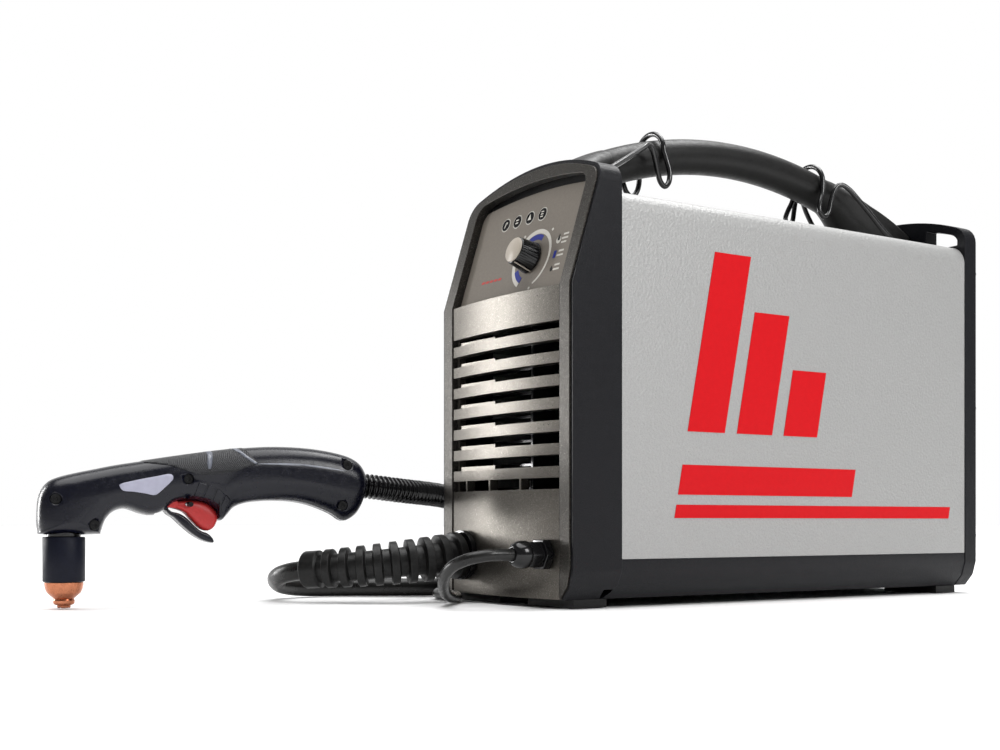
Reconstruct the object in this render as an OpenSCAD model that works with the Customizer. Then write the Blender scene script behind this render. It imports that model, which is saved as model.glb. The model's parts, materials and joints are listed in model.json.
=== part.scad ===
// Portable plasma cutter: power source with its hand torch, torch lead and work lead.
// Millimetres. +Z is up, the front of the power source faces -Y, and the origin lies on
// the floor at the centre of the four foot holes.

/* [Power source] */
// Overall width of the power source
unit_w = 140; // [136:1:150]
// Overall depth of the power source, front face to rear bezel
unit_d = 356; // [340:1:370]
// Height of the crown of both end bezels
crown_z = 269; // [262:1:276]
// Height of the cover's flat top
cover_z = 244; // [236:1:246]
// Height where the front face starts to lean back
kink_z = 186; // [178:1:190]
// Lean of the control face from vertical, in degrees
lean = 17.2; // [12:0.1:20]
// Height of the rubber feet
foot_h = 5; // [4:0.5:8]

/* [Front] */
// Half width of the opening in the face frame
mouth_hw = 58; // [54:0.5:59]
// Radius of the outward bow of the grille panel
bow_r = 400; // [300:10:800]
// Number of louvre slats
slat_count = 7; // [5:1:8]
// Pitch of the louvre slats
slat_pitch = 13.2; // [12:0.1:14]
// Height of one slat
slat_h = 6.5; // [5:0.5:8]
// Depth of the control label below the face
label_recess = 5; // [3:0.5:6]
// Sideways place of the current knob
knob_x = 13.5; // [5:0.5:20]
// Place of the current knob up the leaning face
knob_v = 25; // [22:0.2:30]
// Radius of the current knob at its base
knob_r = 10; // [9:0.5:11]

/* [Handle] */
// Diameter of the carrying handle
handle_d = 23; // [20:1:26]
// Radius of the handle's arc
handle_bend = 305; // [290:5:360]
// Height of the handle's centreline at its top
handle_z = 295; // [290:0.5:300]
// Diameter of the wire lead hooks
wire_d = 3.5; // [3:0.5:4]

/* [Fan] */
// Side of the square fan frame
fan_w = 92; // [80:1:92]
// Number of fan blades
blade_count = 7; // [5:1:9]

/* [Torch] */
// Half thickness of the torch handle
torch_t = 14.5; // [13:0.5:16]
// Travel-side clearance of the trigger and safety lever in their pocket
pocket_gap = 0.5; // [0.3:0.1:1]
// Radius of the retaining cap
cap_r = 11.8; // [11:0.1:13]

/* [Leads] */
// Diameter of the torch lead
torch_lead_d = 12; // [10:0.5:14]
// Diameter of the work lead
work_lead_d = 7; // [6:0.5:9]
// Outer diameter of the corrugated sleeve at the torch
sleeve_d = 16; // [14:0.5:18]

/* [Hidden] */
$fn = 64;

front_y = -unit_d / 2;
rear_y = unit_d / 2;
half_w = unit_w / 2;
cover_front = front_y + 36.5;
cover_rear = rear_y - 12;
frame_t = 7;
rim = 2.2;
rim_back = 1;
wall = 4;
sheet = 1.2;
cover_hw = half_w - 0.5;
skirt_z = 28;
tray_z = foot_h + 3;
foot_x = 38;
foot_y = 158;
foot_hole_r = 2.7;
crown_r = 180;
corner_r = 12;
mouth_top = 258.5;
mouth_r = 290;
label_top = 252.5;
label_r = 420;
big = 400;
eps = 0.01;

// ---------- outlines and frames ----------

// Points of a round stretch, centre c, radius r, from angle a0 to a1 in n steps
function arc(c, r, a0, a1, n) = [for (i = [0:n])
    let (a = a0 + (a1 - a0) * i / n) [c[0] + r * cos(a), c[1] + r * sin(a)]];

// Right half of a crowned outline: corner radius rc, then a crown of radius r up to the top
function dome(hw, top, r, rc) = let (
    cz = top - r, zc = cz + sqrt(pow(r - rc, 2) - pow(hw - rc, 2)), tilt = atan2(zc - cz, hw - rc),
    crown = arc([0, cz], r, tilt, 90, 9))
    concat(arc([hw - rc, zc], rc, 0, tilt, 5), [for (k = [1:9]) crown[k]]);

// A right half outline joined to its mirror image
function whole(right) = concat(right, [for (k = [len(right) - 2:-1:0]) [-right[k][0], right[k][1]]]);

// Front-view outline of both end bezels, set in by i: crowned top, tucked-in lower corners
function bezel_pts(i = 0) = whole(concat([[half_w - 9 - i, foot_h + (i > 1 ? i / 4 : 0)],
    [half_w - 2.7 - i, foot_h + 7.5], [half_w - i, foot_h + 17]],
    dome(half_w - i, crown_z - i, crown_r - i, corner_r - i / 2)));

// A solid with the bezel outline, from y0 to y1
module bezel_prism(i, y0, y1) {
    translate([0, y1, 0]) rotate([90, 0, 0])
        linear_extrude(y1 - y0) polygon(bezel_pts(i));
}

// A crowned window or plate with straight sides down to z0
module dome_prism(hw, z0, top, r, rc, y0, y1) {
    translate([0, y1, 0]) rotate([90, 0, 0]) linear_extrude(y1 - y0)
        polygon(whole(concat([[hw, z0]], dome(hw, top, r, rc))));
}

// Everything behind the front face, set back by d along its normal
module behind_face(d) {
    zk = kink_z - d * tan(lean / 2);
    translate([-big / 2, 0, 0]) rotate([90, 0, 90])
        linear_extrude(big) polygon([[front_y + d, -10], [front_y + d, zk],
            [front_y + d + (300 - zk) * tan(lean), 300], [200, 300], [200, -10]]);
}

// The leaning control face: x across, z up the face, y into the machine
module on_face() {
    translate([0, front_y, kink_z]) rotate([-lean, 0, 0]) children();
}

// A cylinder pointing into the control face, from depth d0 to d1
module face_pin(x, v, r, d0, d1, r2 = 0) {
    translate([x, d1, v]) rotate([90, 0, 0])
        cylinder(r1 = r2 > 0 ? r2 : r, r2 = r, h = d1 - d0);
}

module y_cyl(x, z, r, y0, y1, n = 64) {
    translate([x, y1, z]) rotate([90, 0, 0]) cylinder(r = r, h = y1 - y0, $fn = n);
}

module x_cyl(y, z, r, x0, x1) {
    translate([x0, y, z]) rotate([0, 90, 0]) cylinder(r = r, h = x1 - x0);
}

module block(x0, x1, y0, y1, z0, z1) {
    translate([x0, y0, z0]) cube([x1 - x0, y1 - y0, z1 - z0]);
}

module both_sides() {
    children();
    mirror([1, 0, 0]) children();
}

// Cover section in front view, set in by i
function cover_pts(i, z0) = let (hw = cover_hw - i, r = 13 - i, zt = cover_z - i)
    concat([[hw, z0]], arc([hw - r, zt - r], r, 0, 90, 8),
        arc([r - hw, zt - r], r, 90, 180, 8), [[-hw, z0]]);

module cover_prism(i, z0, y0, y1) {
    translate([0, y1, 0]) rotate([90, 0, 0]) linear_extrude(y1 - y0) polygon(cover_pts(i, z0));
}

// ---------- swept round sections ----------

function unit(v) = v / norm(v);
function along(p, i) = unit(p[min(i + 1, len(p) - 1)] - p[max(i - 1, 0)]);
function ring(c, t, ref, r, n) = let (s = unit(cross(t, ref)), u = cross(s, t))
    [for (k = [0:n - 1]) c + r * (cos(360 * k / n) * s + sin(360 * k / n) * u)];

// A skin over matching closed sections, one after another
module loft(sections) {
    m = len(sections);
    n = len(sections[0]);
    sides = [for (i = [0:m - 2], k = [0:n - 1])
        [i * n + k, i * n + (k + 1) % n, (i + 1) * n + (k + 1) % n, (i + 1) * n + k]];
    ends = [[for (k = [n - 1:-1:0]) k], [for (k = [0:n - 1]) (m - 1) * n + k]];
    polyhedron([for (s = sections) each s], concat(sides, ends));
}

// One tube through the points p; ref is any direction the tube never runs along
module sweep(p, r, n, ref = [0, 0, 1]) {
    loft([for (i = [0:len(p) - 1]) ring(p[i], along(p, i), ref, r, n)]);
}

// Catmull-Rom curve through hand-placed points, s steps a span
function bend(p, i, t) = let (
    a = p[max(i - 1, 0)], b = p[i], c = p[i + 1], d = p[min(i + 2, len(p) - 1)])
    0.5 * (2 * b + t * (c - a) + t * t * (2 * a - 5 * b + 4 * c - d)
        + t * t * t * (3 * b - a - 3 * c + d));
function smooth(p, s) = concat([for (i = [0:len(p) - 2], k = [0:s - 1]) bend(p, i, k / s)],
    [p[len(p) - 1]]);

// ---------- lead routes ----------

torch_exit = [-38, front_y - 7, 29];
boot_bend = 100;
boot_turn = 57;
boot_drop = asin(9 / (boot_bend * sin(boot_turn)));
coil_c = [-182, 5];
coil_turn_r = 72;
coil_rows = 5;
work_c = [-165, 150];
work_turn_r = 38.15;
work_rows = 4;

feed_route = [[-83.5, -268.4, 20], [-94.8, -274.6, 18.2], [-108, -275.7, 15.4], [-120.6, -271.3, 12.2],
    [-131.2, -262.7, 9], [-137.8, -250.5, 7], [-139.2, -237, 6.1], [-135.2, -223.5, 6],
    [-128, -211, 6], [-119.8, -198.5, 6], [-112, -186, 6], [-105.5, -173.5, 6],
    [-101.2, -159, 6], [-99, -140, 6], [-99.5, -115, 6], [-102, -85, 6], [-104, -55, 6],
    [-104, -25, 6], [-104, 5, 6]];
return_route = [[-221, -62.5, 54.5], [-205, -72, 55], [-190, -80, 55], [-174, -89, 55],
    [-158, -97, 55.5], [-143, -105, 56.5], [-128, -114, 58]];
sleeve_route = [[-128, -114, 58], [-118.5, -122, 60], [-110, -132, 62], [-102, -144, 64],
    [-95, -157, 66], [-89, -170.5, 67.5], [-84, -184.5, 68.5], [-80.6, -198, 69.4],
    [-79, -211, 70.5], [-78.9, -223.7, 71.8], [-80.6, -237, 73]];
run_route = [[46, -195, 31], [46, -206, 31], [45, -216, 31], [42.5, -223, 30], [37, -228.5, 28],
    [27, -231, 24], [16, -229, 18], [5, -223, 12], [-7, -214, 7], [-18, -203, 4.2],
    [-29, -193, 3.5], [-42, -187, 3.5], [-56, -185, 3.5], [-69, -182, 3.5], [-79, -173, 3.5],
    [-84, -158, 3.5], [-84, -125, 3.5], [-84, -75, 3.5], [-84, -20, 3.5], [-84, 30, 3.5],
    [-86, 70, 3.5], [-94, 98, 3.5], [-106, 120, 3.5], [-114, 135, 3.5], [-116.2, 150, 3.5]];
tail_route = [[-122.7, 125.6, 24.8], [-113, 142, 24], [-103, 160, 21], [-95, 178, 17],
    [-91, 194, 13], [-93, 208, 11], [-101, 216, 10], [-112, 220, 10]];

// ---------- power source: front ----------

// Curved lower end of the base tray, which the front shoulder is cut back for
module heel(x0, x1) {
    translate([x0, 0, 0]) rotate([90, 0, 90]) linear_extrude(x1 - x0)
        polygon([[cover_front, foot_h], [cover_front, foot_h + 15], [cover_front - 1.2, foot_h + 8],
            [cover_front - 4, foot_h + 3.5], [cover_front - 8, foot_h]]);
}

module front_shoulder() {
    color("#2a2b30") difference() {
        intersection() {
            bezel_prism(0, front_y, cover_front);
            behind_face(rim_back);
        }
        difference() {
            bezel_prism(rim, front_y - 10, cover_front);
            behind_face(frame_t);
        }
        intersection() {
            bezel_prism(wall, front_y - 1, cover_front - 3);
            behind_face(frame_t - 1);
        }
        cover_prism(4, -5, cover_front - 10, cover_front + 1);
        block(-59, 59, front_y - 10, cover_front + 1, 0, foot_h + 4);
        heel(-big, big);
    }
}

module face_frame() {
    color("#4c4843") difference() {
        intersection() {
            bezel_prism(rim + 0.2, front_y - 1, cover_front);
            behind_face(0);
        }
        behind_face(frame_t);
        dome_prism(mouth_hw, kink_z - 30, mouth_top, mouth_r, 9, front_y - 10, 0);
        block(-mouth_hw, mouth_hw, front_y - 10, 0, -1, kink_z + 10);
    }
}

slat_top = kink_z - 25;
panel_top = 68.7;
blade_z = 165.5;
panel_hw = mouth_hw - 0.9;
blade_rise = 2.8;

// A shell of the bowed front, t deep, between two heights
module bowed(z0, z1, t) {
    intersection() {
        block(-panel_hw, panel_hw, front_y - 10, front_y + 20, z0, z1);
        translate([0, front_y - 3.5 + bow_r, z0]) difference() {
            cylinder(r = bow_r, h = z1 - z0, $fn = 180);
            translate([0, 0, -1]) cylinder(r = bow_r - t, h = z1 - z0 + 2, $fn = 180);
        }
    }
}

module grille_panel() {
    rib_places = [-38, -9.5, 22.7];
    color("#4c4843") difference() {
        union() {
            bowed(foot_h, panel_top, 3);
            bowed(blade_z, kink_z, 8);
            for (i = [0:slat_count - 1])
                bowed(slat_top - i * slat_pitch - slat_h, slat_top - i * slat_pitch, 8);
            intersection() {
                bowed(foot_h, kink_z, 8);
                both_sides() block(panel_hw - 2.6, panel_hw, front_y + 3.5, 0, foot_h, kink_z);
            }
            for (i = [0:slat_count - 1])
                block(-54, -14, front_y + 3.8, front_y + 8.5, slat_top - i * slat_pitch - 1,
                    slat_top - i * slat_pitch + blade_rise);
            intersection() {
                bowed(panel_top - 2, slat_top - (slat_count - 1) * slat_pitch, 6);
                for (x = rib_places)
                    block(x - 0.8, x + 0.8, front_y - 10, 0, 0, kink_z);
            }
        }
        y_cyl(torch_exit[0], torch_exit[2], 12, front_y - 10, 0);
        y_cyl(46, 31, 6.1, front_y - 10, 0);
    }
}

lens_x = [-26.9, -14.2, -0.6, 12.7];
lens_v = 54.5;

module control_label() {
    color("#8b857d") difference() {
        intersection() {
            dome_prism(mouth_hw - 1, 150, label_top, label_r, 6, front_y - 1, 0);
            on_face() block(-mouth_hw, mouth_hw, label_recess, frame_t, 2.5, 90);
        }
        on_face() {
            face_pin(knob_x, knob_v, 5, 0, 20);
            for (x = lens_x) face_pin(x, lens_v, 4, 0, 20);
        }
    }
}

module control_housing() {
    color("#17171a") difference() {
        intersection() {
            bezel_prism(wall + 0.3, front_y - 1, cover_front - 4);
            on_face() block(-half_w, half_w, frame_t, frame_t + 2.5, 3.2, 90);
        }
        on_face() {
            face_pin(knob_x, knob_v, 5, 0, 20);
            for (x = lens_x) face_pin(x, lens_v, 2.5, 0, 20);
        }
    }
}

module indicator_lenses() {
    color("#101012") on_face() for (x = lens_x)
        face_pin(x, lens_v, 3.9, label_recess - 0.4, frame_t - 0.1);
}

knob_out = 9.5;
shaft_r = 3;

module current_knob() {
    color("#141416") on_face() difference() {
        face_pin(knob_x, knob_v, knob_r - 2, -knob_out + 1, label_recess - 0.5, knob_r);
        face_pin(knob_x, knob_v, shaft_r, -knob_out + 4, label_recess);
    }
}

module knob_cap() {
    color("#cdbfae") on_face()
        face_pin(knob_x, knob_v, knob_r - 2.2, -knob_out, -knob_out + 1);
}

module pot_shaft() {
    color("#b9b9b9") on_face() face_pin(knob_x, knob_v, shaft_r, -knob_out + 4, 17);
}

module potentiometer() {
    color("#4a5a4a") on_face() difference() {
        union() {
            face_pin(knob_x, knob_v, 4.6, label_recess + 0.6, 13);
            face_pin(knob_x, knob_v, 10, frame_t + 2.6, 19.5);
        }
        face_pin(knob_x, knob_v, shaft_r + 0.05, 0, 17.5);
    }
}

module control_board() {
    color("#1f5a35") on_face() {
        block(-50, 50, 20, 21.6, 4, 54);
        block(-40, -22, 21.6, 27, 12, 30);
        for (x = lens_x) face_pin(x, lens_v - 4, 2.2, 10, 20);
    }
}

// ---------- power source: case ----------

module cover() {
    color("#b5b5b3") difference() {
        cover_prism(0, skirt_z, cover_front, cover_rear);
        cover_prism(sheet, skirt_z - 1, cover_front - 1, cover_rear + 1);
    }
}

// One slanted stripe of the side graphic, from height z0 to z1
module stripe(y, w, z0, z1) {
    slant = 0.2;
    rotate([90, 0, 90]) linear_extrude(0.3) polygon([[y + slant * z0, z0],
        [y + w + slant * z0, z0], [y + w + slant * z1, z1], [y + slant * z1, z1]]);
}

module side_graphics() {
    color("#d71f26") both_sides() translate([cover_hw, 0, 0]) {
        stripe(-112, 30, 104, 214);
        stripe(-72, 30, 104, 180);
        stripe(-32, 30, 104, 146);
        stripe(-112, 250, 52, 60);
        stripe(-112, 150, 66, 84);
    }
}

module base_tray() {
    color("#38373b") difference() {
        union() {
            difference() {
                intersection() {
                    union() {
                        block(-half_w, half_w, cover_front, cover_rear, foot_h, skirt_z);
                        heel(-half_w, half_w);
                    }
                    bezel_prism(half_w - cover_hw, cover_front - 20, cover_rear);
                }
                intersection() {
                    bezel_prism(wall + 1, cover_front - 20, cover_rear + 1);
                    block(-big, big, -big, big, tray_z, big);
                }
            }
            block(-52, 52, front_y + 10, cover_front, foot_h, tray_z);
            both_sides() for (y = [-foot_y, foot_y])
                translate([foot_x, y, tray_z - eps]) cylinder(r = 4.8, h = 6);
        }
        both_sides() for (y = [-foot_y, foot_y])
            translate([foot_x, y, -1]) cylinder(r = foot_hole_r, h = 30);
    }
}

module feet() {
    color("#141416") both_sides() for (y = [-foot_y, foot_y])
        translate([foot_x, y, 0]) difference() {
            translate([-23, -12, 0]) cube([46, y < 0 ? 24 : 20, foot_h]);
            translate([0, 0, -1]) cylinder(r = foot_hole_r, h = foot_h + 2);
        }
}

module rear_bezel() {
    color("#2a2b30") difference() {
        bezel_prism(0, cover_rear, rear_y);
        intersection() {
            bezel_prism(8, cover_rear - 1, rear_y + 1);
            block(-big, big, cover_rear - 1, rear_y + 1, 0, cover_z - 4);
        }
        both_sides() intersection() {
            bezel_prism(6, cover_rear - 1, rear_y + 1);
            block(36, 63, cover_rear - 1, rear_y + 1, cover_z + 1, big);
        }
    }
}

fan_x = -15;
fan_z = 150;
fan_bore = 43;
gland_x = 40;
gland_z = 40;
switch_x = 40;
switch_z = 218;
air_x = -38;
air_z = 30;

module rear_panel() {
    color("#2e2e31") difference() {
        intersection() {
            cover_prism(sheet + 0.2, tray_z, cover_rear - 3, cover_rear);
            bezel_prism(wall + 1.2, cover_rear - 3, cover_rear);
            block(-big, big, 0, big, tray_z, 240);
        }
        y_cyl(fan_x, fan_z, fan_bore, 0, big);
        y_cyl(gland_x, gland_z, 10, 0, big);
        y_cyl(air_x, air_z, 6.5, 0, big);
        block(switch_x - 13.5, switch_x + 13.5, 0, big, switch_z - 14.5, switch_z + 14.5);
    }
}

module bezel_screws() {
    color("#9a9a9c") both_sides() for (z = [40, 130, 225]) difference() {
        y_cyl(66, z, 3, rear_y, rear_y + 1.6);
        y_cyl(66, z, 1.2, rear_y + 0.6, rear_y + 3, 6);
    }
}

module fan_guard() {
    color("#2b2b2d") {
        for (r = [11, 21, 31, 41]) translate([fan_x, cover_rear + 2.4, fan_z]) rotate([90, 0, 0])
            rotate_extrude() translate([r, 0]) square(2, center = true);
        for (a = [45, 135]) translate([fan_x, cover_rear + 0.7, fan_z]) rotate([0, a, 0])
            cube([102, 1.4, 2], center = true);
    }
}

module fan_frame() {
    y0 = cover_rear - 28;
    color("#1c1c1e") difference() {
        union() {
            difference() {
                block(fan_x - fan_w / 2, fan_x + fan_w / 2, y0, cover_rear - 3,
                    fan_z - fan_w / 2, fan_z + fan_w / 2);
                y_cyl(fan_x, fan_z, fan_bore, y0 - 1, big);
            }
            y_cyl(fan_x, fan_z, 15, y0, y0 + 4);
            for (a = [0, 120, 240]) translate([fan_x, y0 + 2, fan_z]) rotate([0, a + 30, 0])
                translate([10, -2, -2]) cube([fan_bore - 8, 4, 4]);
        }
        y_cyl(fan_x, fan_z, 2.05, y0 - 1, big);
    }
}

module fan_rotor() {
    y0 = cover_rear - 22.5;
    color("#26262a") {
        difference() {
            y_cyl(fan_x, fan_z, 16, y0, y0 + 17);
            y_cyl(fan_x, fan_z, 13.5, y0 - 1, y0 + 3);
        }
        y_cyl(fan_x, fan_z, 2, y0 - 4, y0 + 4);
        for (i = [0:blade_count - 1]) translate([fan_x, y0 + 9, fan_z])
            rotate([0, i * 360 / blade_count, 0]) translate([15, 0, 0]) rotate([38, 0, 0])
                translate([0, -0.8, -9]) cube([25.5, 1.6, 18]);
    }
}

module switch_housing() {
    color("#141416") difference() {
        union() {
            block(switch_x - 13.4, switch_x + 13.4, cover_rear - 20, cover_rear,
                switch_z - 14.4, switch_z + 14.4);
            block(switch_x - 15.5, switch_x + 15.5, cover_rear, cover_rear + 2,
                switch_z - 16.5, switch_z + 16.5);
        }
        block(switch_x - 8.5, switch_x + 8.5, cover_rear - 14, big, switch_z - 12, switch_z + 12);
        x_cyl(cover_rear - 4, switch_z, 1.6, switch_x - 11, switch_x + 11);
    }
}

// The rocker leans 7 degrees to its off side at rest
module power_rocker() {
    color("#c0392b") translate([switch_x, cover_rear - 4, switch_z]) rotate([-7, 0, 0]) {
        rotate([90, 0, 90]) linear_extrude(16, center = true)
            polygon([[-7, -5], [3, -10.5], [7.5, -10.5], [6, 0], [7.5, 10.5], [3, 10.5], [-7, 5]]);
        rotate([0, 90, 0]) cylinder(r = 1.5, h = 21, center = true);
    }
}

module power_gland() {
    color("#1c1c1e") difference() {
        union() {
            y_cyl(gland_x, gland_z, 9.9, cover_rear - 12, cover_rear);
            y_cyl(gland_x, gland_z, 13, cover_rear, cover_rear + 4, 6);
            y_cyl(gland_x, gland_z, 10, cover_rear + 4, cover_rear + 11);
        }
        y_cyl(gland_x, gland_z, 4.6, cover_rear - 20, big);
    }
}

nipple_end = rear_y + 10;
filter_end = cover_rear - 14;

module air_inlet() {
    color("#b9a25a") difference() {
        union() {
            y_cyl(air_x, air_z, 6.4, filter_end, cover_rear);
            y_cyl(air_x, air_z, 10, cover_rear, cover_rear + 8, 6);
            y_cyl(air_x, air_z, 6, cover_rear + 8, nipple_end);
        }
        y_cyl(air_x, air_z, 3.2, filter_end - 1, big);
    }
}

module air_filter() {
    color("#c8ccd0") {
        y_cyl(air_x, air_z, 14, 106, filter_end);
        translate([air_x, 130, air_z + 10]) cylinder(r = 8, h = 14);
    }
}

module solenoid_valve() {
    color("#6f7176") {
        block(air_x - 12, air_x + 12, 74, 106, air_z - 11, air_z + 11);
        translate([air_x, 90, air_z + 11 - eps]) cylinder(r = 10, h = 26);
    }
}

module air_hose() {
    color("#1d4f9a") y_cyl(air_x, air_z, 4, -164, 74, 32);
}

// ---------- power source: inside ----------

module chassis_plate() {
    color("#9a9ca0") intersection() {
        block(-4, -2, front_y + 20, 130, tray_z, 236);
        behind_face(24);
    }
}

module heat_sink() {
    color("#a9abb0") {
        block(-10, -4, -150, 20, 60, 182);
        for (z = [62:7.5:180]) block(-58, -9.9, -150, 20, z, z + 1.8);
    }
}

module power_board() {
    color("#1f5a35") {
        block(6, 7.6, -130, 110, 30, 220);
        for (y = [-122, 102], z = [38, 212]) x_cyl(y, z, 3, -2, 6);
    }
}

module capacitors() {
    color("#27415e") for (y = [-95, -60, -25]) x_cyl(y, 175, 15, 7.6, 48);
}

module transformer() {
    color("#6b4a2a") {
        block(7.6, 50, 20, 70, 120, 140);
        block(7.6, 50, 20, 70, 165, 185);
        block(7.6, 50, 37, 53, 139.9, 165.1);
        translate([0, 0, 152.5]) block(10, 46, 24, 66, -12, 12);
    }
}

// ---------- handle and lead hooks ----------

handle_c = [10, handle_z - handle_bend];
function handle_mid(y) = handle_c[1] + sqrt(pow(handle_bend, 2) - pow(y - handle_c[0], 2));
handle_from = asin((cover_rear - handle_c[0]) / handle_bend);
handle_to = asin((handle_c[0] - cover_front) / handle_bend);

module handle_rod(r) {
    translate([0, handle_c[0], handle_c[1]]) rotate([0, 90, 0]) rotate([0, 0, 180 - handle_from])
        rotate_extrude(angle = handle_from + handle_to, $fn = 96)
            translate([handle_bend, 0]) circle(r = r, $fn = 32);
}

module handle() {
    color("#1b1b1d") intersection() {
        handle_rod(handle_d / 2);
        block(-20, 20, cover_front + 0.05, cover_rear - 0.05, cover_z + 0.2, big);
    }
}

// A flared base round one end of the handle; each station is [y, half width, rise, fall]
module handle_base(stations) {
    difference() {
        intersection() {
            loft([for (s = stations) [for (a = [0:22.5:337.5])
                [s[1] * cos(a), s[0], handle_mid(s[0]) + (a < 180 ? s[2] : s[3]) * sin(a)]]]);
            block(-40, 40, -big, big, cover_z + 0.05, big);
        }
        handle_rod(handle_d / 2 + 0.05);
    }
}

module handle_front_mount() {
    color("#202023") handle_base([[cover_front + 0.05, 28, 14.2, 14.2], [-134, 25, 14, 14],
        [-124, 18.5, 13.7, 13.7], [-113, 14, 13.5, 13.5], [-104, 12.8, 13.3, 13.3]]);
}

module handle_rear_mount() {
    color("#202023") handle_base([[100, 12.8, 13.1, 13.1], [108, 13.4, 13.3, 18], [116, 14.8, 13.5, 26],
        [124, 16.6, 13.7, 34], [136, 19.4, 13.9, 40], [150, 21.6, 14.1, 40],
        [cover_rear - 0.05, 22.5, 14.4, 40]]);
}

hook_r = handle_d / 2 + wire_d / 2 + 0.3;
hook_lift = 2.4;

// One bent wire: over the handle at y, then down, round and up to a peak and out to its ends
module wire_hook(y, leg) {
    zc = handle_mid(y) + hook_lift;
    translate([0, y, zc]) rotate([90, 0, 0]) rotate([0, 0, -1])
        rotate_extrude(angle = 182) translate([hook_r, 0]) circle(r = wire_d / 2, $fn = 16);
    both_sides() sweep(smooth(concat([[hook_r, y, zc + 0.3]], leg), 3), wire_d / 2, 8, [1, 0, 0]);
}

module wire_hooks() {
    color("#161618") {
        wire_hook(-62, [[14.4, -60, 282], [15.4, -58.6, 275], [16.2, -60, 268.5], [16.8, -63.9, 265],
            [17.2, -68, 267.5], [17.6, -70.4, 273], [18.2, -73.2, 281], [19, -76.4, 286.8],
            [21.5, -82, 288], [27, -91, 283], [40, -111.4, 272.3], [56, -138, 258.4],
            [58, -141.4, 256.6]]);
        wire_hook(84, [[14.4, 82.4, 280], [15.6, 79, 272.5], [16.4, 77.6, 267], [17, 81.2, 263],
            [17.4, 85.6, 266.5], [17.8, 87.8, 275], [18.6, 90.4, 283], [20, 95, 286.8],
            [22.5, 101, 283.6], [25, 108, 276.5], [27, 117, 268], [28.4, 129, 257.5],
            [29, 142, 249.4], [29.6, 153, 246.6], [30, 165.9, 246.4]]);
    }
}

// ---------- leads ----------

module torch_bulkhead() {
    x = torch_exit[0];
    z = torch_exit[2];
    color("#8d8f93") difference() {
        union() {
            y_cyl(x, z, 15.5, torch_exit[1], front_y - 3.6);
            y_cyl(x, z, 11.8, front_y - 3.7, front_y + 12);
            y_cyl(x, z, 14, front_y + 4, front_y + 9, 6);
        }
        y_cyl(x, z, 4.1, front_y + 2, 0);
    }
}

// Flexible ribbed boot on the torch lead, bent towards the torch side
module torch_boot() {
    ribs = 10;
    color("#1d1d1f") translate(torch_exit) rotate([boot_drop, 0, 0]) translate([-boot_bend, 0, 0]) {
        rotate([0, 0, -boot_turn]) rotate_extrude(angle = boot_turn)
            translate([boot_bend, 0]) circle(r = 8.6, $fn = 32);
        for (i = [0:ribs - 1]) rotate([0, 0, -(i + 0.33) * boot_turn / ribs])
            translate([boot_bend, 0, 0]) rotate([90, 0, 0]) translate([0, 0, -2.4])
                cylinder(r = 14.6 - i * 0.33, h = i == ribs - 1 ? 8 : 5.2);
    }
}

module torch_lead_feed() {
    color("#2b2a27") sweep(smooth(feed_route, 2), torch_lead_d / 2, 12);
}

module coil_ring(c, turn_r, rows, cols, d) {
    w = cols * d * 1.015;
    translate([c[0], c[1], 0]) rotate_extrude(angle = 360, $fn = 96)
        translate([turn_r - w / 2, 0]) square([w, rows * d * 1.01]);
}

module torch_coil() {
    color("#2b2a27") coil_ring(coil_c, coil_turn_r, coil_rows, 2, torch_lead_d);
}

module torch_lead_return() {
    color("#2b2a27") sweep(smooth(return_route, 2), torch_lead_d / 2, 12);
}

module torch_sleeve() {
    color("#232324") sweep(smooth(sleeve_route, 2), sleeve_d / 2, 12);
}

module work_gland() {
    color("#1a1a1c") difference() {
        union() {
            y_cyl(46, 31, 6, front_y - 4, front_y + 8);
            y_cyl(46, 31, 9.6, front_y - 13, front_y - 3.6, 6);
            translate([46, front_y - 13, 31]) rotate([90, 0, 0])
                cylinder(r1 = 8.6, r2 = 6.2, h = 12);
        }
        y_cyl(46, 31, work_lead_d / 2 + 0.1, front_y - 30, front_y + 2);
    }
}

module work_lead_run() {
    color("#2b2a27") sweep(smooth(run_route, 2), work_lead_d / 2, 8);
}

module work_coil() {
    color("#2b2a27") coil_ring(work_c, work_turn_r, work_rows, 4, work_lead_d);
}

module work_lead_tail() {
    color("#2b2a27") sweep(smooth(tail_route, 2), work_lead_d / 2, 8);
}

// ---------- work clamp, lying on its side ----------

clamp_at = [-238, 244, 0];
clamp_h = 20;
clamp_pivot = [55, 0];
ear_t = 4;

// One jaw bar: nose, throat and handle, on the -Y side of the clamp's middle
module jaw_bar(end_x) {
    linear_extrude(clamp_h) polygon([[0, -0.3], [16, -0.3], [20, -6], [40, -6], [48, -3.4],
        [62, -6], [end_x, -24], [end_x - 2, -30], [62, -12.5], [50, -12.5], [30, -13],
        [6, -10], [0, -6]]);
}

module jaw_ears(z0s) {
    for (z = z0s) translate([clamp_pivot[0], clamp_pivot[1], z]) difference() {
        union() {
            cylinder(r = 7, h = ear_t);
            translate([-6, -9, 0]) cube([12, 9, ear_t]);
        }
        translate([0, 0, -1]) cylinder(r = 3.05, h = ear_t + 2);
    }
}

module clamp_jaw_fixed() {
    color("#8f8f92") translate(clamp_at) difference() {
        union() {
            difference() {
                jaw_bar(130);
                translate([clamp_pivot[0], 0, ear_t]) cylinder(r = 7.6, h = clamp_h - 2 * ear_t);
            }
            jaw_ears([0, clamp_h - ear_t]);
        }
        translate([clamp_pivot[0], 0, -1]) cylinder(r = 3.0, h = clamp_h + 2);
        translate([112, -40, 5]) cube([30, 30, 10]);
    }
}

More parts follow.
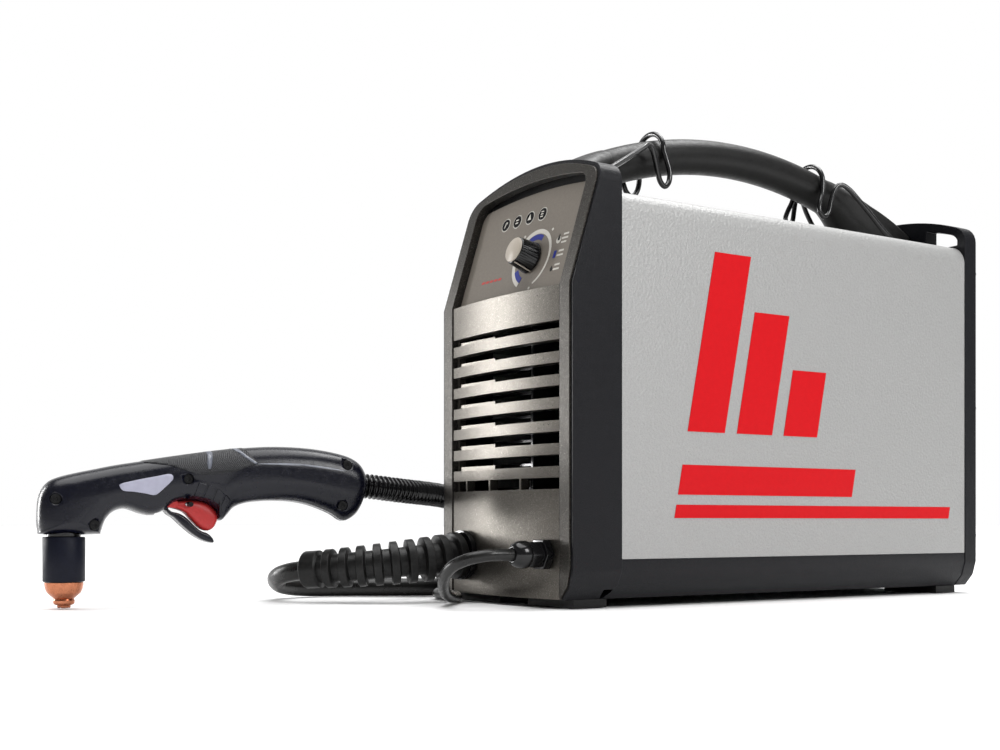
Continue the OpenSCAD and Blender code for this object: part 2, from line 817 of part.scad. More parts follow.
module clamp_jaw_moving() {
    color("#a86f4a") translate(clamp_at) mirror([0, 1, 0]) difference() {
        union() {
            difference() {
                jaw_bar(130);
                for (z = [-1, clamp_h - ear_t - 0.3])
                    translate([clamp_pivot[0], 0, z]) cylinder(r = 7.6, h = ear_t + 1.3);
                translate([clamp_pivot[0], 0, 0]) cylinder(r = 7.3, h = clamp_h);
            }
            jaw_ears([ear_t + 0.3, clamp_h - 2 * ear_t - 0.3]);
        }
        translate([clamp_pivot[0], 0, -1]) cylinder(r = 3.05, h = clamp_h + 2);
    }
}

module clamp_pin_spring() {
    color("#b9b9bb") translate([clamp_at[0] + clamp_pivot[0], clamp_at[1], 0]) {
        translate([0, 0, 0.5]) cylinder(r = 3, h = clamp_h - 1);
        translate([0, 0, 8.7]) cylinder(r = 5.4, h = 2.6);
    }
}

// ---------- torch ----------
// Torch frame: y runs from the head to the tail, z up, x across; the tip stands on the floor.

torch_tip = [-104, -412, 0];
torch_yaw = -7.6;
trigger_axis = [70.5, 60.1];
lever_axis = [56, 61.5];

module in_torch() {
    translate(torch_tip) rotate([0, 0, torch_yaw]) children();
}

// A prism of a side-view outline, from x0 to x1
module side_prism(pts, x0, x1) {
    translate([x0, 0, 0]) rotate([90, 0, 90]) linear_extrude(x1 - x0) polygon(pts);
}

// Side outline of the handle, clockwise from the head's lower front corner
shell_pts = [[-11, 42.5], [-14.5, 45], [-15, 56], [-13.5, 66], [-9, 72.5], [-3, 75.5], [6, 78],
    [16, 80.2], [28, 82.8], [42, 85.2], [62, 88.6], [84, 92], [103, 94.4], [124, 95.8], [146, 95.2],
    [165, 92.4], [176, 88.4], [181.5, 82], [183.3, 74], [181.5, 65], [178.5, 58], [174.5, 53],
    [168, 50.4], [160, 55], [147, 59.9], [135, 62.2], [121, 62.6], [107, 61.4], [98.5, 58.4],
    [94, 53.6], [91, 50.6], [88.4, 51.4], [87.4, 55.6], [83.5, 59.6], [77, 61.9], [70, 62.4],
    [63, 61.2], [58.5, 58], [54, 54.8], [49, 53.6], [43, 54.6], [34, 57.4], [27, 55.6],
    [22.4, 50.6], [20.2, 44], [17, 42.5]];

// The same outline drawn in by d along the bisector at each corner
function drawn_in(p, d) = let (n = len(p)) [for (i = [0:n - 1]) let (
    t = unit(p[(i + 1) % n] - p[(i + n - 1) % n])) p[i] + d * [t[1], -t[0]]];

screw_places = [[-6.2, 62.7], [15, 48], [69, 75], [165, 60], [168, 85]];
works_pts = [[39, 64], [49.5, 66], [172, 68], [172, 80], [100, 84], [60, 80], [39, 77]];
inlay_pts = [[44, 84.6], [58, 83], [68, 79.6], [75, 77.6], [84, 77.4], [97, 80], [110.5, 84.7],
    [96.5, 104], [44, 104]];

module shell_half() {
    steps = [[0, 9.5, 0], [9.5, 12.5, 1], [12.5, torch_t, 2]];
    difference() {
        union() for (s = steps) side_prism(drawn_in(shell_pts, s[2]), s[0], s[1]);
        // hollow for the torch head, the works and the lead
        translate([0, 0, 40]) cylinder(r = 9.6, h = 24);
        side_prism([[-6, 62], [10, 62], [40, 64], [40, 78], [10, 74], [-6, 70]], -1, 8);
        side_prism(works_pts, -1, 8);
        translate([0, 160, 73]) rotate([-90, 0, 0]) cylinder(r = sleeve_d / 2 + 0.8, h = 40);
        // pocket for the trigger and the safety lever
        side_prism([[50, 45], [93, 45], [93, 74], [50, 68]], -1, 7 + pocket_gap);
        for (s = screw_places) {
            x_cyl(s[0], s[1], 1.6, -1, 11);
            x_cyl(s[0], s[1], 3, 11, 20);
        }
        x_cyl(trigger_axis[0], trigger_axis[1], 1.5, -1, 20);
        x_cyl(lever_axis[0], lever_axis[1], 1.3, -1, 11);
        side_prism(inlay_pts, -1, 20);
    }
}

module torch_shell_right() {
    color("#1f222b") in_torch() shell_half();
}

module torch_shell_left() {
    color("#1f222b") in_torch() mirror([1, 0, 0]) shell_half();
}

// Knurled saddle set into the top of the handle
module grip_inlay() {
    color("#2b2d33") in_torch() both_sides() difference() {
        for (s = [[0, 9.5, 0], [9.5, 12.5, 1], [12.5, torch_t, 2]]) intersection() {
            side_prism(drawn_in(shell_pts, s[2]), s[0], s[1]);
            side_prism(drawn_in(inlay_pts, -0.2), -1, 20);
        }
        side_prism(works_pts, -1, 8);
    }
}

// Plain pale plates on both sides of the handle
module torch_badges() {
    color("#cfcfdd") in_torch() both_sides() side_prism([[28.6, 73.6], [26.8, 70.4], [28.6, 67.8],
        [44.5, 65.2], [49.5, 66.4], [59, 74.6], [58.5, 77], [55, 77.8]], torch_t, torch_t + 0.7);
}

module torch_trigger() {
    color("#c73a3a") in_torch() difference() {
        side_prism([[60.4, 58.6], [62, 61.8], [66, 66], [76, 68], [84, 66], [86, 60.4], [88.2, 56],
            [88.9, 52.6], [88, 49.4], [86, 46], [82.6, 44.4], [78.4, 45.6], [74.8, 48.8],
            [71.4, 52.6], [68.8, 55.3], [65, 57], [61, 58.1]], -6.5, 6.5);
        x_cyl(trigger_axis[0], trigger_axis[1], 1.55, -10, 10);
    }
}

module safety_lever() {
    color("#22252e") in_torch() difference() {
        side_prism([[53.9, 58], [53.9, 63.4], [58.1, 63.4], [59, 57], [61, 55.8], [65, 55],
            [68.4, 53.3], [71.2, 51.1], [74.2, 47.9], [78.6, 44.4], [81.8, 43.3], [84, 41.8],
            [85.8, 39.4], [85.8, 37], [79.4, 38.6], [73, 42.4], [67, 47.6], [62.4, 52], [57.2, 56]],
            -6, 6);
        x_cyl(lever_axis[0], lever_axis[1], 1.35, -10, 10);
    }
}

module torch_pins_screws() {
    color("#a7a7aa") in_torch() {
        x_cyl(trigger_axis[0], trigger_axis[1], 1.5, -12.4, 12.4);
        x_cyl(lever_axis[0], lever_axis[1], 1.3, -10.9, 10.9);
        for (s = screw_places) {
            x_cyl(s[0], s[1], 1.6, -11, 11);
            both_sides() difference() {
                x_cyl(s[0], s[1], 2.9, 11, 12.4);
                x_cyl(s[0], s[1], 1.2, 11.7, 14, $fn = 6);
            }
        }
    }
}

module torch_head() {
    color("#b08d57") in_torch() difference() {
        union() {
            translate([0, 0, 30]) cylinder(r = 9, h = 29.5);
            translate([0, 0, 41.7]) cylinder(r = 9.5, h = 0.9);
            translate([0, 0, 8]) cylinder(r = 4, h = 23);
            translate([0, 0, 5.5]) cylinder(r1 = 5, r2 = 6.4, h = 12);
            translate([0, 0, 17.4]) cylinder(r = 6.4, h = 13);
        }
        translate([0, 0, -1]) cylinder(r = 1, h = 12);
    }
}

module retaining_cap() {
    color("#1c1e27") in_torch() difference() {
        translate([0, 0, 15]) cylinder(r = cap_r, h = 26.5);
        translate([0, 0, 14]) cylinder(r = 9.05, h = 40);
    }
}

module torch_shield() {
    color("#c98a63") in_torch() rotate_extrude() polygon([[2.4, 0], [3.8, 0], [3.8, 1.6], [5.6, 2.2],
        [6, 3.2], [6, 4.8], [5.5, 5.6], [6.6, 6.6], [9.6, 9.4], [10.4, 11], [11, 13.4], [11, 15],
        [9, 15], [9, 12.4], [6.9, 8.4], [5.2, 5.2], [2.4, 4]]);
}

front_shoulder();
face_frame();
grille_panel();
control_label();
control_housing();
indicator_lenses();
current_knob();
knob_cap();
pot_shaft();
potentiometer();
control_board();
cover();
side_graphics();
base_tray();
feet();
rear_bezel();
rear_panel();
bezel_screws();
fan_guard();
fan_frame();
fan_rotor();
switch_housing();
power_rocker();
power_gland();
air_inlet();
air_filter();
solenoid_valve();
air_hose();
chassis_plate();
heat_sink();
power_board();
capacitors();
transformer();
handle();
handle_front_mount();
handle_rear_mount();
wire_hooks();
torch_bulkhead();
torch_boot();
torch_lead_feed();
torch_coil();
torch_lead_return();
torch_sleeve();
work_gland();
work_lead_run();
work_coil();
work_lead_tail();
clamp_jaw_fixed();
clamp_jaw_moving();
clamp_pin_spring();
torch_shell_right();
torch_shell_left();
grip_inlay();
torch_badges();
torch_trigger();
safety_lever();
torch_pins_screws();
torch_head();
retaining_cap();
torch_shield();
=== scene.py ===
"""Plasma cutter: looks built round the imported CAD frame. Metres, +Z up, front towards -Y."""

import json
import math

import bmesh
import bpy
import numpy as np
from mathutils import Matrix, Vector
from mathutils.bvhtree import BVHTree


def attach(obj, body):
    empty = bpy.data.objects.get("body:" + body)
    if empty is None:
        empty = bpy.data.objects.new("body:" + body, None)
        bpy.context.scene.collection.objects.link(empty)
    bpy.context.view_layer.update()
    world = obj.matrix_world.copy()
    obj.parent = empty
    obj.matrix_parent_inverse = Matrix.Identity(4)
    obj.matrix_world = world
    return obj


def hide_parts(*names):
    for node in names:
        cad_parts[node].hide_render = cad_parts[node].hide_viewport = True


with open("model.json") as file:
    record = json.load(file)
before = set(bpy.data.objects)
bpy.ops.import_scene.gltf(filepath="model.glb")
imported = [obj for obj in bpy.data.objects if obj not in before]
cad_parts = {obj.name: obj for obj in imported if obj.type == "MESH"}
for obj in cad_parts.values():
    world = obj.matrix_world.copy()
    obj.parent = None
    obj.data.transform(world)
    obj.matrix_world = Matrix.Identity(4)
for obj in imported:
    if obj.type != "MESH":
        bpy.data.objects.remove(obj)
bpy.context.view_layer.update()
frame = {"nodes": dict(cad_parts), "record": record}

MM = 0.001
SLOT_OF = {s["node"]: s["material_slot"] for s in frame["record"]["subparts"]}
BODY_OF = {n: b for b, ns in frame["record"]["behaviour"]["bodies"].items() for n in ns}


# ---------------------------------------------------------------- camera, floor and light

CAMERA_AT = (0.7006, -0.6482, 0.0499)
CAMERA_HEADING = math.radians(56.24)
CAMERA_LENS = 50.1
CAMERA_SHIFT = 0.1466
BACKDROP_WAY = (-0.83, 0.56, 0)
BACKDROP_EDGES = (0.5, 0.86)
DIM_ROOM, BRIGHT_WALL = 0.25, 1.0
SKY_STRENGTH = 3.2
SKY_ANGLE = math.radians(60)
SOFT_BOXES = (
    # name, place, what it looks at, width and height, watts
    ("face_strip", (-1.13, -0.92, 0.33), (0, -0.18, 0.12), (0.15, 0.66), 9),
    ("side_box", (1.35, 0.3, 0.95), (0.07, -0.1, 0.2), (0.5, 0.6), 12),
    ("top_box", (-0.1, 0.5, 1.3), (-0.05, -0.1, 0.15), (0.6, 0.5), 7),
)
FLOOR_REACH = 12
FLOOR_DROP = 0.0004


def make_camera():
    """Looks level across the front right corner; the shift drops the horizon below the middle."""
    data = bpy.data.cameras.new("camera")
    data.lens = CAMERA_LENS
    data.sensor_width = 36
    data.shift_y = CAMERA_SHIFT
    data.clip_end = 50
    cam = bpy.data.objects.new("camera", data)
    bpy.context.collection.objects.link(cam)
    cam.location = CAMERA_AT
    cam.rotation_euler = (math.radians(90), 0, CAMERA_HEADING)
    bpy.context.scene.camera = cam


def area_light(name, at, look, size, watts):
    """A rectangular soft box at one place, turned to look at another."""
    data = bpy.data.lights.new(name, "AREA")
    data.shape = "RECTANGLE"
    data.size, data.size_y = size
    data.energy = watts
    light = bpy.data.objects.new(name, data)
    bpy.context.collection.objects.link(light)
    light.location = at
    light.rotation_euler = (Vector(look) - Vector(at)).to_track_quat("-Z", "Y").to_euler()


def make_studio():
    """A bright wall of light behind the object, a dim room round it, a wide sun and soft boxes."""
    world = bpy.data.worlds.new("studio")
    world.use_nodes = True
    tree = world.node_tree
    room = tree.nodes["Background"]
    room.inputs["Strength"].default_value = 1.0
    way = tree.nodes.new("ShaderNodeTexCoord").outputs["Generated"]
    behind = tree.nodes.new("ShaderNodeVectorMath")
    behind.operation = "DOT_PRODUCT"
    behind.inputs[1].default_value = BACKDROP_WAY
    tree.links.new(way, behind.inputs[0])
    fade = tree.nodes.new("ShaderNodeMapRange")
    fade.interpolation_type = "SMOOTHSTEP"
    fade.inputs["From Min"].default_value, fade.inputs["From Max"].default_value = BACKDROP_EDGES
    fade.inputs["To Min"].default_value, fade.inputs["To Max"].default_value = DIM_ROOM, BRIGHT_WALL
    tree.links.new(behind.outputs["Value"], fade.inputs["Value"])
    tree.links.new(fade.outputs["Result"], room.inputs["Color"])
    bpy.context.scene.world = world
    bpy.context.scene.view_settings.view_transform = "Standard"
    sky = bpy.data.lights.new("sky_lamp", "SUN")
    sky.energy = SKY_STRENGTH
    sky.angle = SKY_ANGLE
    bpy.context.collection.objects.link(bpy.data.objects.new("sky_lamp", sky))
    for box in SOFT_BOXES:
        area_light(*box)
    mesh = bpy.data.meshes.new("floor")
    r = FLOOR_REACH
    mesh.from_pydata([(-r, -r, 0), (r, -r, 0), (r, r, 0), (-r, r, 0)], [], [(0, 1, 2, 3)])
    floor = bpy.data.objects.new("floor", mesh)
    floor.location.z = -FLOOR_DROP
    bpy.context.collection.objects.link(floor)
    floor.data.materials.append(surface("pale_floor", (0.88, 0.88, 0.88), 0.7, grain=(40, 0.02)))


# ---------------------------------------------------------------- materials

MADE = {}


def surface(name, color, rough, metal=0.0, coat=0.0, grain=None, bump=None, mottle=None,
            flakes=None, weave=None, spec=0.5):
    """A procedural material in object coordinates.

    grain = (scale, amount) varies the roughness, bump = (scale, depth) is a fine relief,
    mottle = (scale, amount) varies the colour, flakes = (scale, share, colour) adds bright
    specks, and weave = (scale, depth) is a knurl of crossed waves. Depths are in metres.
    """
    if name in MADE:
        return MADE[name]
    mat = bpy.data.materials.new(name)
    mat.use_nodes = True
    tree = mat.node_tree
    shader = tree.nodes["Principled BSDF"]
    shader.inputs["Base Color"].default_value = (*color, 1)
    shader.inputs["Roughness"].default_value = rough
    shader.inputs["Metallic"].default_value = metal
    shader.inputs["Specular IOR Level"].default_value = spec
    shader.inputs["Coat Weight"].default_value = coat
    shader.inputs["Coat Roughness"].default_value = 0.12
    place = tree.nodes.new("ShaderNodeTexCoord").outputs["Object"]

    def noise(scale, detail=3.0):
        node = tree.nodes.new("ShaderNodeTexNoise")
        node.inputs["Scale"].default_value = scale
        node.inputs["Detail"].default_value = detail
        tree.links.new(place, node.inputs["Vector"])
        return node.outputs["Fac"]

    def remap(value, low, high):
        node = tree.nodes.new("ShaderNodeMapRange")
        node.inputs["From Min"].default_value = 0.3
        node.inputs["From Max"].default_value = 0.7
        node.inputs["To Min"].default_value = low
        node.inputs["To Max"].default_value = high
        tree.links.new(value, node.inputs["Value"])
        return node.outputs["Result"]

    def blend(factor, first, second):
        node = tree.nodes.new("ShaderNodeMix")
        node.data_type = "RGBA"
        tree.links.new(factor, node.inputs["Factor"])
        for socket, value in ((node.inputs[6], first), (node.inputs[7], second)):
            if isinstance(value, tuple):
                socket.default_value = (*value, 1)
            else:
                tree.links.new(value, socket)
        return node.outputs[2]

    if grain:
        tree.links.new(remap(noise(grain[0]), rough - grain[1], rough + grain[1]),
                       shader.inputs["Roughness"])
    tone = None
    if mottle:
        dark = tuple(c * (1 - mottle[1]) for c in color)
        light = tuple(min(1, c * (1 + mottle[1])) for c in color)
        tone = blend(remap(noise(mottle[0], 5), 0, 1), dark, light)
    if flakes:
        cells = tree.nodes.new("ShaderNodeTexVoronoi")
        cells.inputs["Scale"].default_value = flakes[0]
        tree.links.new(place, cells.inputs["Vector"])
        pick = tree.nodes.new("ShaderNodeMath")
        pick.operation = "GREATER_THAN"
        pick.inputs[1].default_value = 1 - flakes[1]
        split = tree.nodes.new("ShaderNodeSeparateColor")
        tree.links.new(cells.outputs["Color"], split.inputs["Color"])
        tree.links.new(split.outputs[0], pick.inputs[0])
        tone = blend(pick.outputs[0], tone or color, flakes[2])
    if tone:
        tree.links.new(tone, shader.inputs["Base Color"])
    if bump or weave:
        relief = tree.nodes.new("ShaderNodeBump")
        relief.inputs["Strength"].default_value = 1.0
        relief.inputs["Distance"].default_value = (bump or weave)[1]
        height = noise(bump[0], 2) if bump else None
        if weave:
            parts = []
            for turn in (45, -45):
                spin = tree.nodes.new("ShaderNodeMapping")
                spin.inputs["Rotation"].default_value = (math.radians(turn), math.radians(turn), 0)
                tree.links.new(place, spin.inputs["Vector"])
                wave = tree.nodes.new("ShaderNodeTexWave")
                wave.inputs["Scale"].default_value = weave[0]
                tree.links.new(spin.outputs["Vector"], wave.inputs["Vector"])
                parts.append(wave.outputs["Fac"])
            cross = tree.nodes.new("ShaderNodeMath")
            cross.operation = "MULTIPLY"
            tree.links.new(parts[0], cross.inputs[0])
            tree.links.new(parts[1], cross.inputs[1])
            height = cross.outputs[0]
        tree.links.new(height, relief.inputs["Height"])
        tree.links.new(relief.outputs["Normal"], shader.inputs["Normal"])
    MADE[name] = mat
    return mat


LOOKS = {
    "silver_paint": dict(color=(0.35, 0.35, 0.346), rough=0.46, metal=0.35, spec=0.4,
        grain=(500, 0.05), bump=(560, 0.0004), mottle=(1500, 0.08)),
    "textured_plastic": dict(color=(0.0046, 0.0048, 0.0066), rough=0.36, spec=0.2,
        grain=(300, 0.06), bump=(1500, 0.0002), mottle=(1200, 0.3)),
    "sparkle_plastic": dict(color=(0.11, 0.101, 0.088), rough=0.3, metal=0.85,
        grain=(900, 0.03), bump=(2400, 0.00005), mottle=(2400, 0.25),
        flakes=(5000, 0.04, (0.3, 0.28, 0.25))),
    "label": dict(color=(0.165, 0.146, 0.124), rough=0.5, spec=0.2, grain=(400, 0.05),
        bump=(2500, 0.00004), mottle=(900, 0.06)),
    "black_plastic": dict(color=(0.0036, 0.0036, 0.004), rough=0.36, spec=0.2,
        grain=(300, 0.06), bump=(1800, 0.00008), mottle=(700, 0.2)),
    "gloss_black": dict(color=(0.003, 0.003, 0.0035), rough=0.16, spec=0.4,
        grain=(200, 0.04), mottle=(500, 0.2)),
    "cream_plastic": dict(color=(0.40, 0.355, 0.30), rough=0.35, spec=0.3,
        grain=(500, 0.05), mottle=(800, 0.04), bump=(2500, 0.00003)),
    "red_plastic": dict(color=(0.40, 0.022, 0.022), rough=0.4, spec=0.35,
        grain=(400, 0.06), bump=(1800, 0.00005), mottle=(500, 0.08)),
    "red_decal": dict(color=(0.52, 0.0036, 0.0075), rough=0.4, spec=0.14,
        grain=(500, 0.04), bump=(850, 0.00010), mottle=(300, 0.03)),
    "steel": dict(color=(0.52, 0.52, 0.53), rough=0.28, metal=1.0,
        grain=(600, 0.08), bump=(1500, 0.00003), mottle=(400, 0.1)),
    "black_metal": dict(color=(0.004, 0.004, 0.0045), rough=0.22, spec=0.5, coat=0.25,
        grain=(300, 0.05), bump=(1200, 0.00003), mottle=(500, 0.2)),
    "aluminium": dict(color=(0.62, 0.63, 0.64), rough=0.36, metal=1.0,
        grain=(500, 0.08), bump=(1200, 0.00004), mottle=(300, 0.08)),
    "brass": dict(color=(0.60, 0.44, 0.18), rough=0.3, metal=1.0,
        grain=(500, 0.08), bump=(1500, 0.00003), mottle=(300, 0.1)),
    "copper": dict(color=(0.44, 0.165, 0.088), rough=0.24, metal=1.0,
        grain=(700, 0.1), bump=(1800, 0.00005), mottle=(250, 0.16)),
    "rubber": dict(color=(0.0055, 0.0054, 0.0052), rough=0.42, spec=0.28,
        grain=(300, 0.08), bump=(1800, 0.00009), mottle=(500, 0.3)),
    "lead_jacket": dict(color=(0.0065, 0.0063, 0.006), rough=0.32, spec=0.35,
        grain=(150, 0.08), bump=(900, 0.00005), mottle=(200, 0.3)),
    "board": dict(color=(0.02, 0.12, 0.05), rough=0.4,
        grain=(300, 0.08), bump=(600, 0.0001), mottle=(250, 0.3)),
    "blue_hose": dict(color=(0.015, 0.08, 0.32), rough=0.35,
        grain=(300, 0.08), mottle=(300, 0.15)),
    "blue_sleeve": dict(color=(0.03, 0.06, 0.14), rough=0.3,
        grain=(300, 0.08), mottle=(300, 0.15)),
    "winding": dict(color=(0.42, 0.17, 0.07), rough=0.35, metal=0.6,
        grain=(300, 0.08), bump=(700, 0.0002), mottle=(500, 0.3)),
    "torch_plastic": dict(color=(0.0024, 0.0028, 0.0075), rough=0.24, spec=0.32,
        grain=(300, 0.05), bump=(1900, 0.00006), mottle=(600, 0.2)),
    "badge": dict(color=(0.36, 0.36, 0.45), rough=0.4, spec=0.3,
        grain=(300, 0.05), mottle=(300, 0.05)),
    # Painted shade: the face frame's sparkle plastic made darker; its rougher grain is its own, its
    # darker colour stands in for shade on the frame.
    "shaded_frame_plastic": dict(color=(0.05, 0.046, 0.041), rough=0.42, metal=0.7, spec=0.4,
        grain=(700, 0.06), bump=(1700, 0.00008), mottle=(2400, 0.3),
        flakes=(5000, 0.04, (0.22, 0.21, 0.19))),
    "cap_plastic": dict(color=(0.0045, 0.0055, 0.0125), rough=0.5, spec=0.16,
        grain=(400, 0.05), bump=(1800, 0.00005), mottle=(600, 0.15)),
    "pale_insert": dict(color=(0.13, 0.14, 0.17), rough=0.3, spec=0.5,
        grain=(400, 0.05), mottle=(500, 0.1)),
    "torch_knurl": dict(color=(0.010, 0.0105, 0.0135), rough=0.4, mottle=(900, 0.3),
        weave=(420, 0.0004)),
}


def paint(name):
    """The named material from the table, made once."""
    return surface(name, **LOOKS[name])


def ink(name, color):
    """A printing ink for the control label."""
    return surface("ink_" + name, color, 0.45, spec=0.25, grain=(500, 0.04), mottle=(700, 0.05))


# ---------------------------------------------------------------- mesh helpers

MERGE = 1e-6
CAD_MERGE = 2e-6
FLAT_ANGLE = math.radians(0.6)
BEVEL_SEGMENTS = 2


def new_object(name, verts, faces, material=None, smooth=True):
    """A mesh piece with doubled points merged and its faces turned outwards."""
    mesh = bpy.data.meshes.new(name)
    mesh.from_pydata([tuple(v) for v in verts], [], faces)
    mesh.validate()
    obj = bpy.data.objects.new(name, mesh)
    bpy.context.collection.objects.link(obj)
    if material:
        mesh.materials.append(material)
    tidy(obj)
    for p in mesh.polygons:
        p.use_smooth = smooth
    return obj


def tidy(obj):
    bm = bmesh.new()
    bm.from_mesh(obj.data)
    bmesh.ops.remove_doubles(bm, verts=bm.verts, dist=MERGE)
    bmesh.ops.recalc_face_normals(bm, faces=bm.faces)
    bm.to_mesh(obj.data)
    bm.free()


def soften(obj, width, angle=30):
    """Rounds every edge sharper than angle and keeps the big faces flat."""
    bevel = obj.modifiers.new("edges", "BEVEL")
    bevel.width = width
    bevel.segments = BEVEL_SEGMENTS
    bevel.limit_method = "ANGLE"
    bevel.angle_limit = math.radians(angle)
    bevel.use_clamp_overlap = True
    bevel.miter_outer = "MITER_ARC"
    weigh = obj.modifiers.new("normals", "WEIGHTED_NORMAL")
    weigh.mode = "FACE_AREA_WITH_ANGLE"
    for p in obj.data.polygons:
        p.use_smooth = True


def settle(obj):
    """Applies the modifiers."""
    graph = bpy.context.evaluated_depsgraph_get()
    mesh = bpy.data.meshes.new_from_object(obj.evaluated_get(graph))
    obj.modifiers.clear()
    obj.data = mesh


def place(obj, *nodes, slot=None):
    """Rides on the body of its first node and stands for the nodes."""
    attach(obj, BODY_OF[nodes[0]])
    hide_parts(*nodes)
    return obj


def detail(obj, node):
    """An extra piece that goes with a node's body, replacing nothing."""
    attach(obj, BODY_OF[node])


def refined(node, width, material=None):
    """A copy of a CAD node with merged flat faces and rounded edges."""
    mesh = frame["nodes"][node].data.copy()
    obj = bpy.data.objects.new(node + "_skin", mesh)
    bpy.context.collection.objects.link(obj)
    mesh.materials.clear()
    mesh.materials.append(material or paint(SLOT_OF[node]))
    bm = bmesh.new()
    bm.from_mesh(mesh)
    bmesh.ops.remove_doubles(bm, verts=bm.verts, dist=CAD_MERGE)
    bmesh.ops.dissolve_limit(bm, angle_limit=FLAT_ANGLE, verts=bm.verts, edges=bm.edges)
    bmesh.ops.recalc_face_normals(bm, faces=bm.faces)
    bm.to_mesh(mesh)
    bm.free()
    soften(obj, width)
    return place(obj, node)


def curve_through(points, steps):
    """Catmull-Rom curve through the points, steps to a span, as the CAD draws it."""
    p = [Vector(q) for q in points]
    out = []
    for i in range(len(p) - 1):
        a, b, c, d = p[max(i - 1, 0)], p[i], p[i + 1], p[min(i + 2, len(p) - 1)]
        for k in range(steps):
            t = k / steps
            out.append(0.5 * (2 * b + t * (c - a) + t * t * (2 * a - 5 * b + 4 * c - d)
                              + t * t * t * (3 * b - a - 3 * c + d)))
    return out + [p[-1]]


def lengths(path):
    """The distance run along the path at each of its points."""
    out = [0.0]
    for a, b in zip(path, path[1:]):
        out.append(out[-1] + (b - a).length)
    return out


def even(path, step):
    """The same path with points a step apart."""
    run = lengths(path)
    n = max(2, round(run[-1] / step) + 1)
    xs = np.linspace(0, run[-1], n)
    xyz = np.array([list(q) for q in path])
    return [Vector(q) for q in np.stack([np.interp(xs, run, xyz[:, k]) for k in range(3)], 1)]


def loft_faces(rings, sides):
    """Side faces between rings of points, sides to a ring."""
    return [(i * sides + k, i * sides + (k + 1) % sides, (i + 1) * sides + (k + 1) % sides,
             (i + 1) * sides + k) for i in range(rings - 1) for k in range(sides)]


def end_faces(rings, sides):
    """The faces that close the first and the last ring."""
    return [tuple(range(sides))[::-1], tuple((rings - 1) * sides + k for k in range(sides))]


def lathe_faces(profile, sides):
    """Faces of a turned shape whose points run along the profile, one meridian after another."""
    n = len(profile)
    faces = [(k * n + i, (k + 1) % sides * n + i, (k + 1) % sides * n + i + 1, k * n + i + 1)
             for k in range(sides) for i in range(n - 1)]
    if profile[0][0] > 0:
        faces.append(tuple(k * n for k in range(sides))[::-1])
    if profile[-1][0] > 0:
        faces.append(tuple(k * n + n - 1 for k in range(sides)))
    return faces


def tube(name, path, radius, sides, material, start=(0, 0, 1)):
    """A round skin along a path. radius is a number or a function of the distance run."""
    run = lengths(path)
    tangents = [(path[min(i + 1, len(path) - 1)] - path[max(i - 1, 0)]).normalized()
                for i in range(len(path))]
    across = Vector(start).cross(tangents[0]).normalized()
    verts = []
    for i, (p, t) in enumerate(zip(path, tangents)):
        across = (across - t * across.dot(t)).normalized()
        up = t.cross(across)
        r = radius(run[i]) if callable(radius) else radius
        for k in range(sides):
            a = 2 * math.pi * k / sides
            verts.append(p + r * (math.cos(a) * across + math.sin(a) * up))
    faces = loft_faces(len(path), sides) + end_faces(len(path), sides)
    return new_object(name, verts, faces, material)


def turned(name, profile, sides, material, axis):
    """A lathe piece: profile is (radius, height) pairs. axis is the matrix that places it."""
    verts = []
    for k in range(sides):
        a = 2 * math.pi * k / sides
        verts += [axis @ Vector((r * math.cos(a), r * math.sin(a), h)) for r, h in profile]
    return new_object(name, verts, lathe_faces(profile, sides), material)


# ---------------------------------------------------------------- leads

TORCH_LEAD_D = 0.012
WORK_LEAD_D = 0.007
SLEEVE_D = 0.016
TORCH_LEAD_STEP = 0.004
WORK_LEAD_STEP = 0.003
TORCH_COIL = dict(centre=(-.182, .005), turn_r=.072, rows=5, cols=2, turns=8 + 2 / 3)
WORK_COIL = dict(centre=(-.165, .15), turn_r=.03815, rows=4, cols=4, turns=15 + 11 / 12)
ROUTE_STEPS = 6
TURN_STEPS = 48
TURN_PITCH = 1.015
LAYER_PITCH = 1.01
CROSSING = 0.3
SLEEVE_PITCH = 0.0031
SLEEVE_GROOVE = 0.0019

# Routes of the leads' free stretches, as the CAD has them.
FEED_ROUTE = [(-.0835, -.2684, .02), (-.0948, -.2746, .0182), (-.108, -.2757, .0154),
    (-.1206, -.2713, .0122), (-.1312, -.2627, .009), (-.1378, -.2505, .007), (-.1392, -.237, .0061),
    (-.1352, -.2235, .006), (-.128, -.211, .006), (-.1198, -.1985, .006), (-.112, -.186, .006),
    (-.1055, -.1735, .006), (-.1012, -.159, .006), (-.099, -.14, .006), (-.0995, -.115, .006),
    (-.102, -.085, .006), (-.104, -.055, .006), (-.104, -.025, .006), (-.104, .005, .006)]
RETURN_ROUTE = [(-.221, -.0625, .0545), (-.205, -.072, .055), (-.19, -.08, .055), (-.174, -.089, .055),
    (-.158, -.097, .0555), (-.143, -.105, .0565), (-.128, -.114, .058)]
SLEEVE_ROUTE = [(-.128, -.114, .058), (-.1185, -.122, .06), (-.11, -.132, .062), (-.102, -.144, .064),
    (-.095, -.157, .066), (-.089, -.1705, .0675), (-.084, -.1845, .0685), (-.0806, -.198, .0694),
    (-.079, -.211, .0705), (-.0789, -.2237, .0718), (-.0806, -.237, .073)]
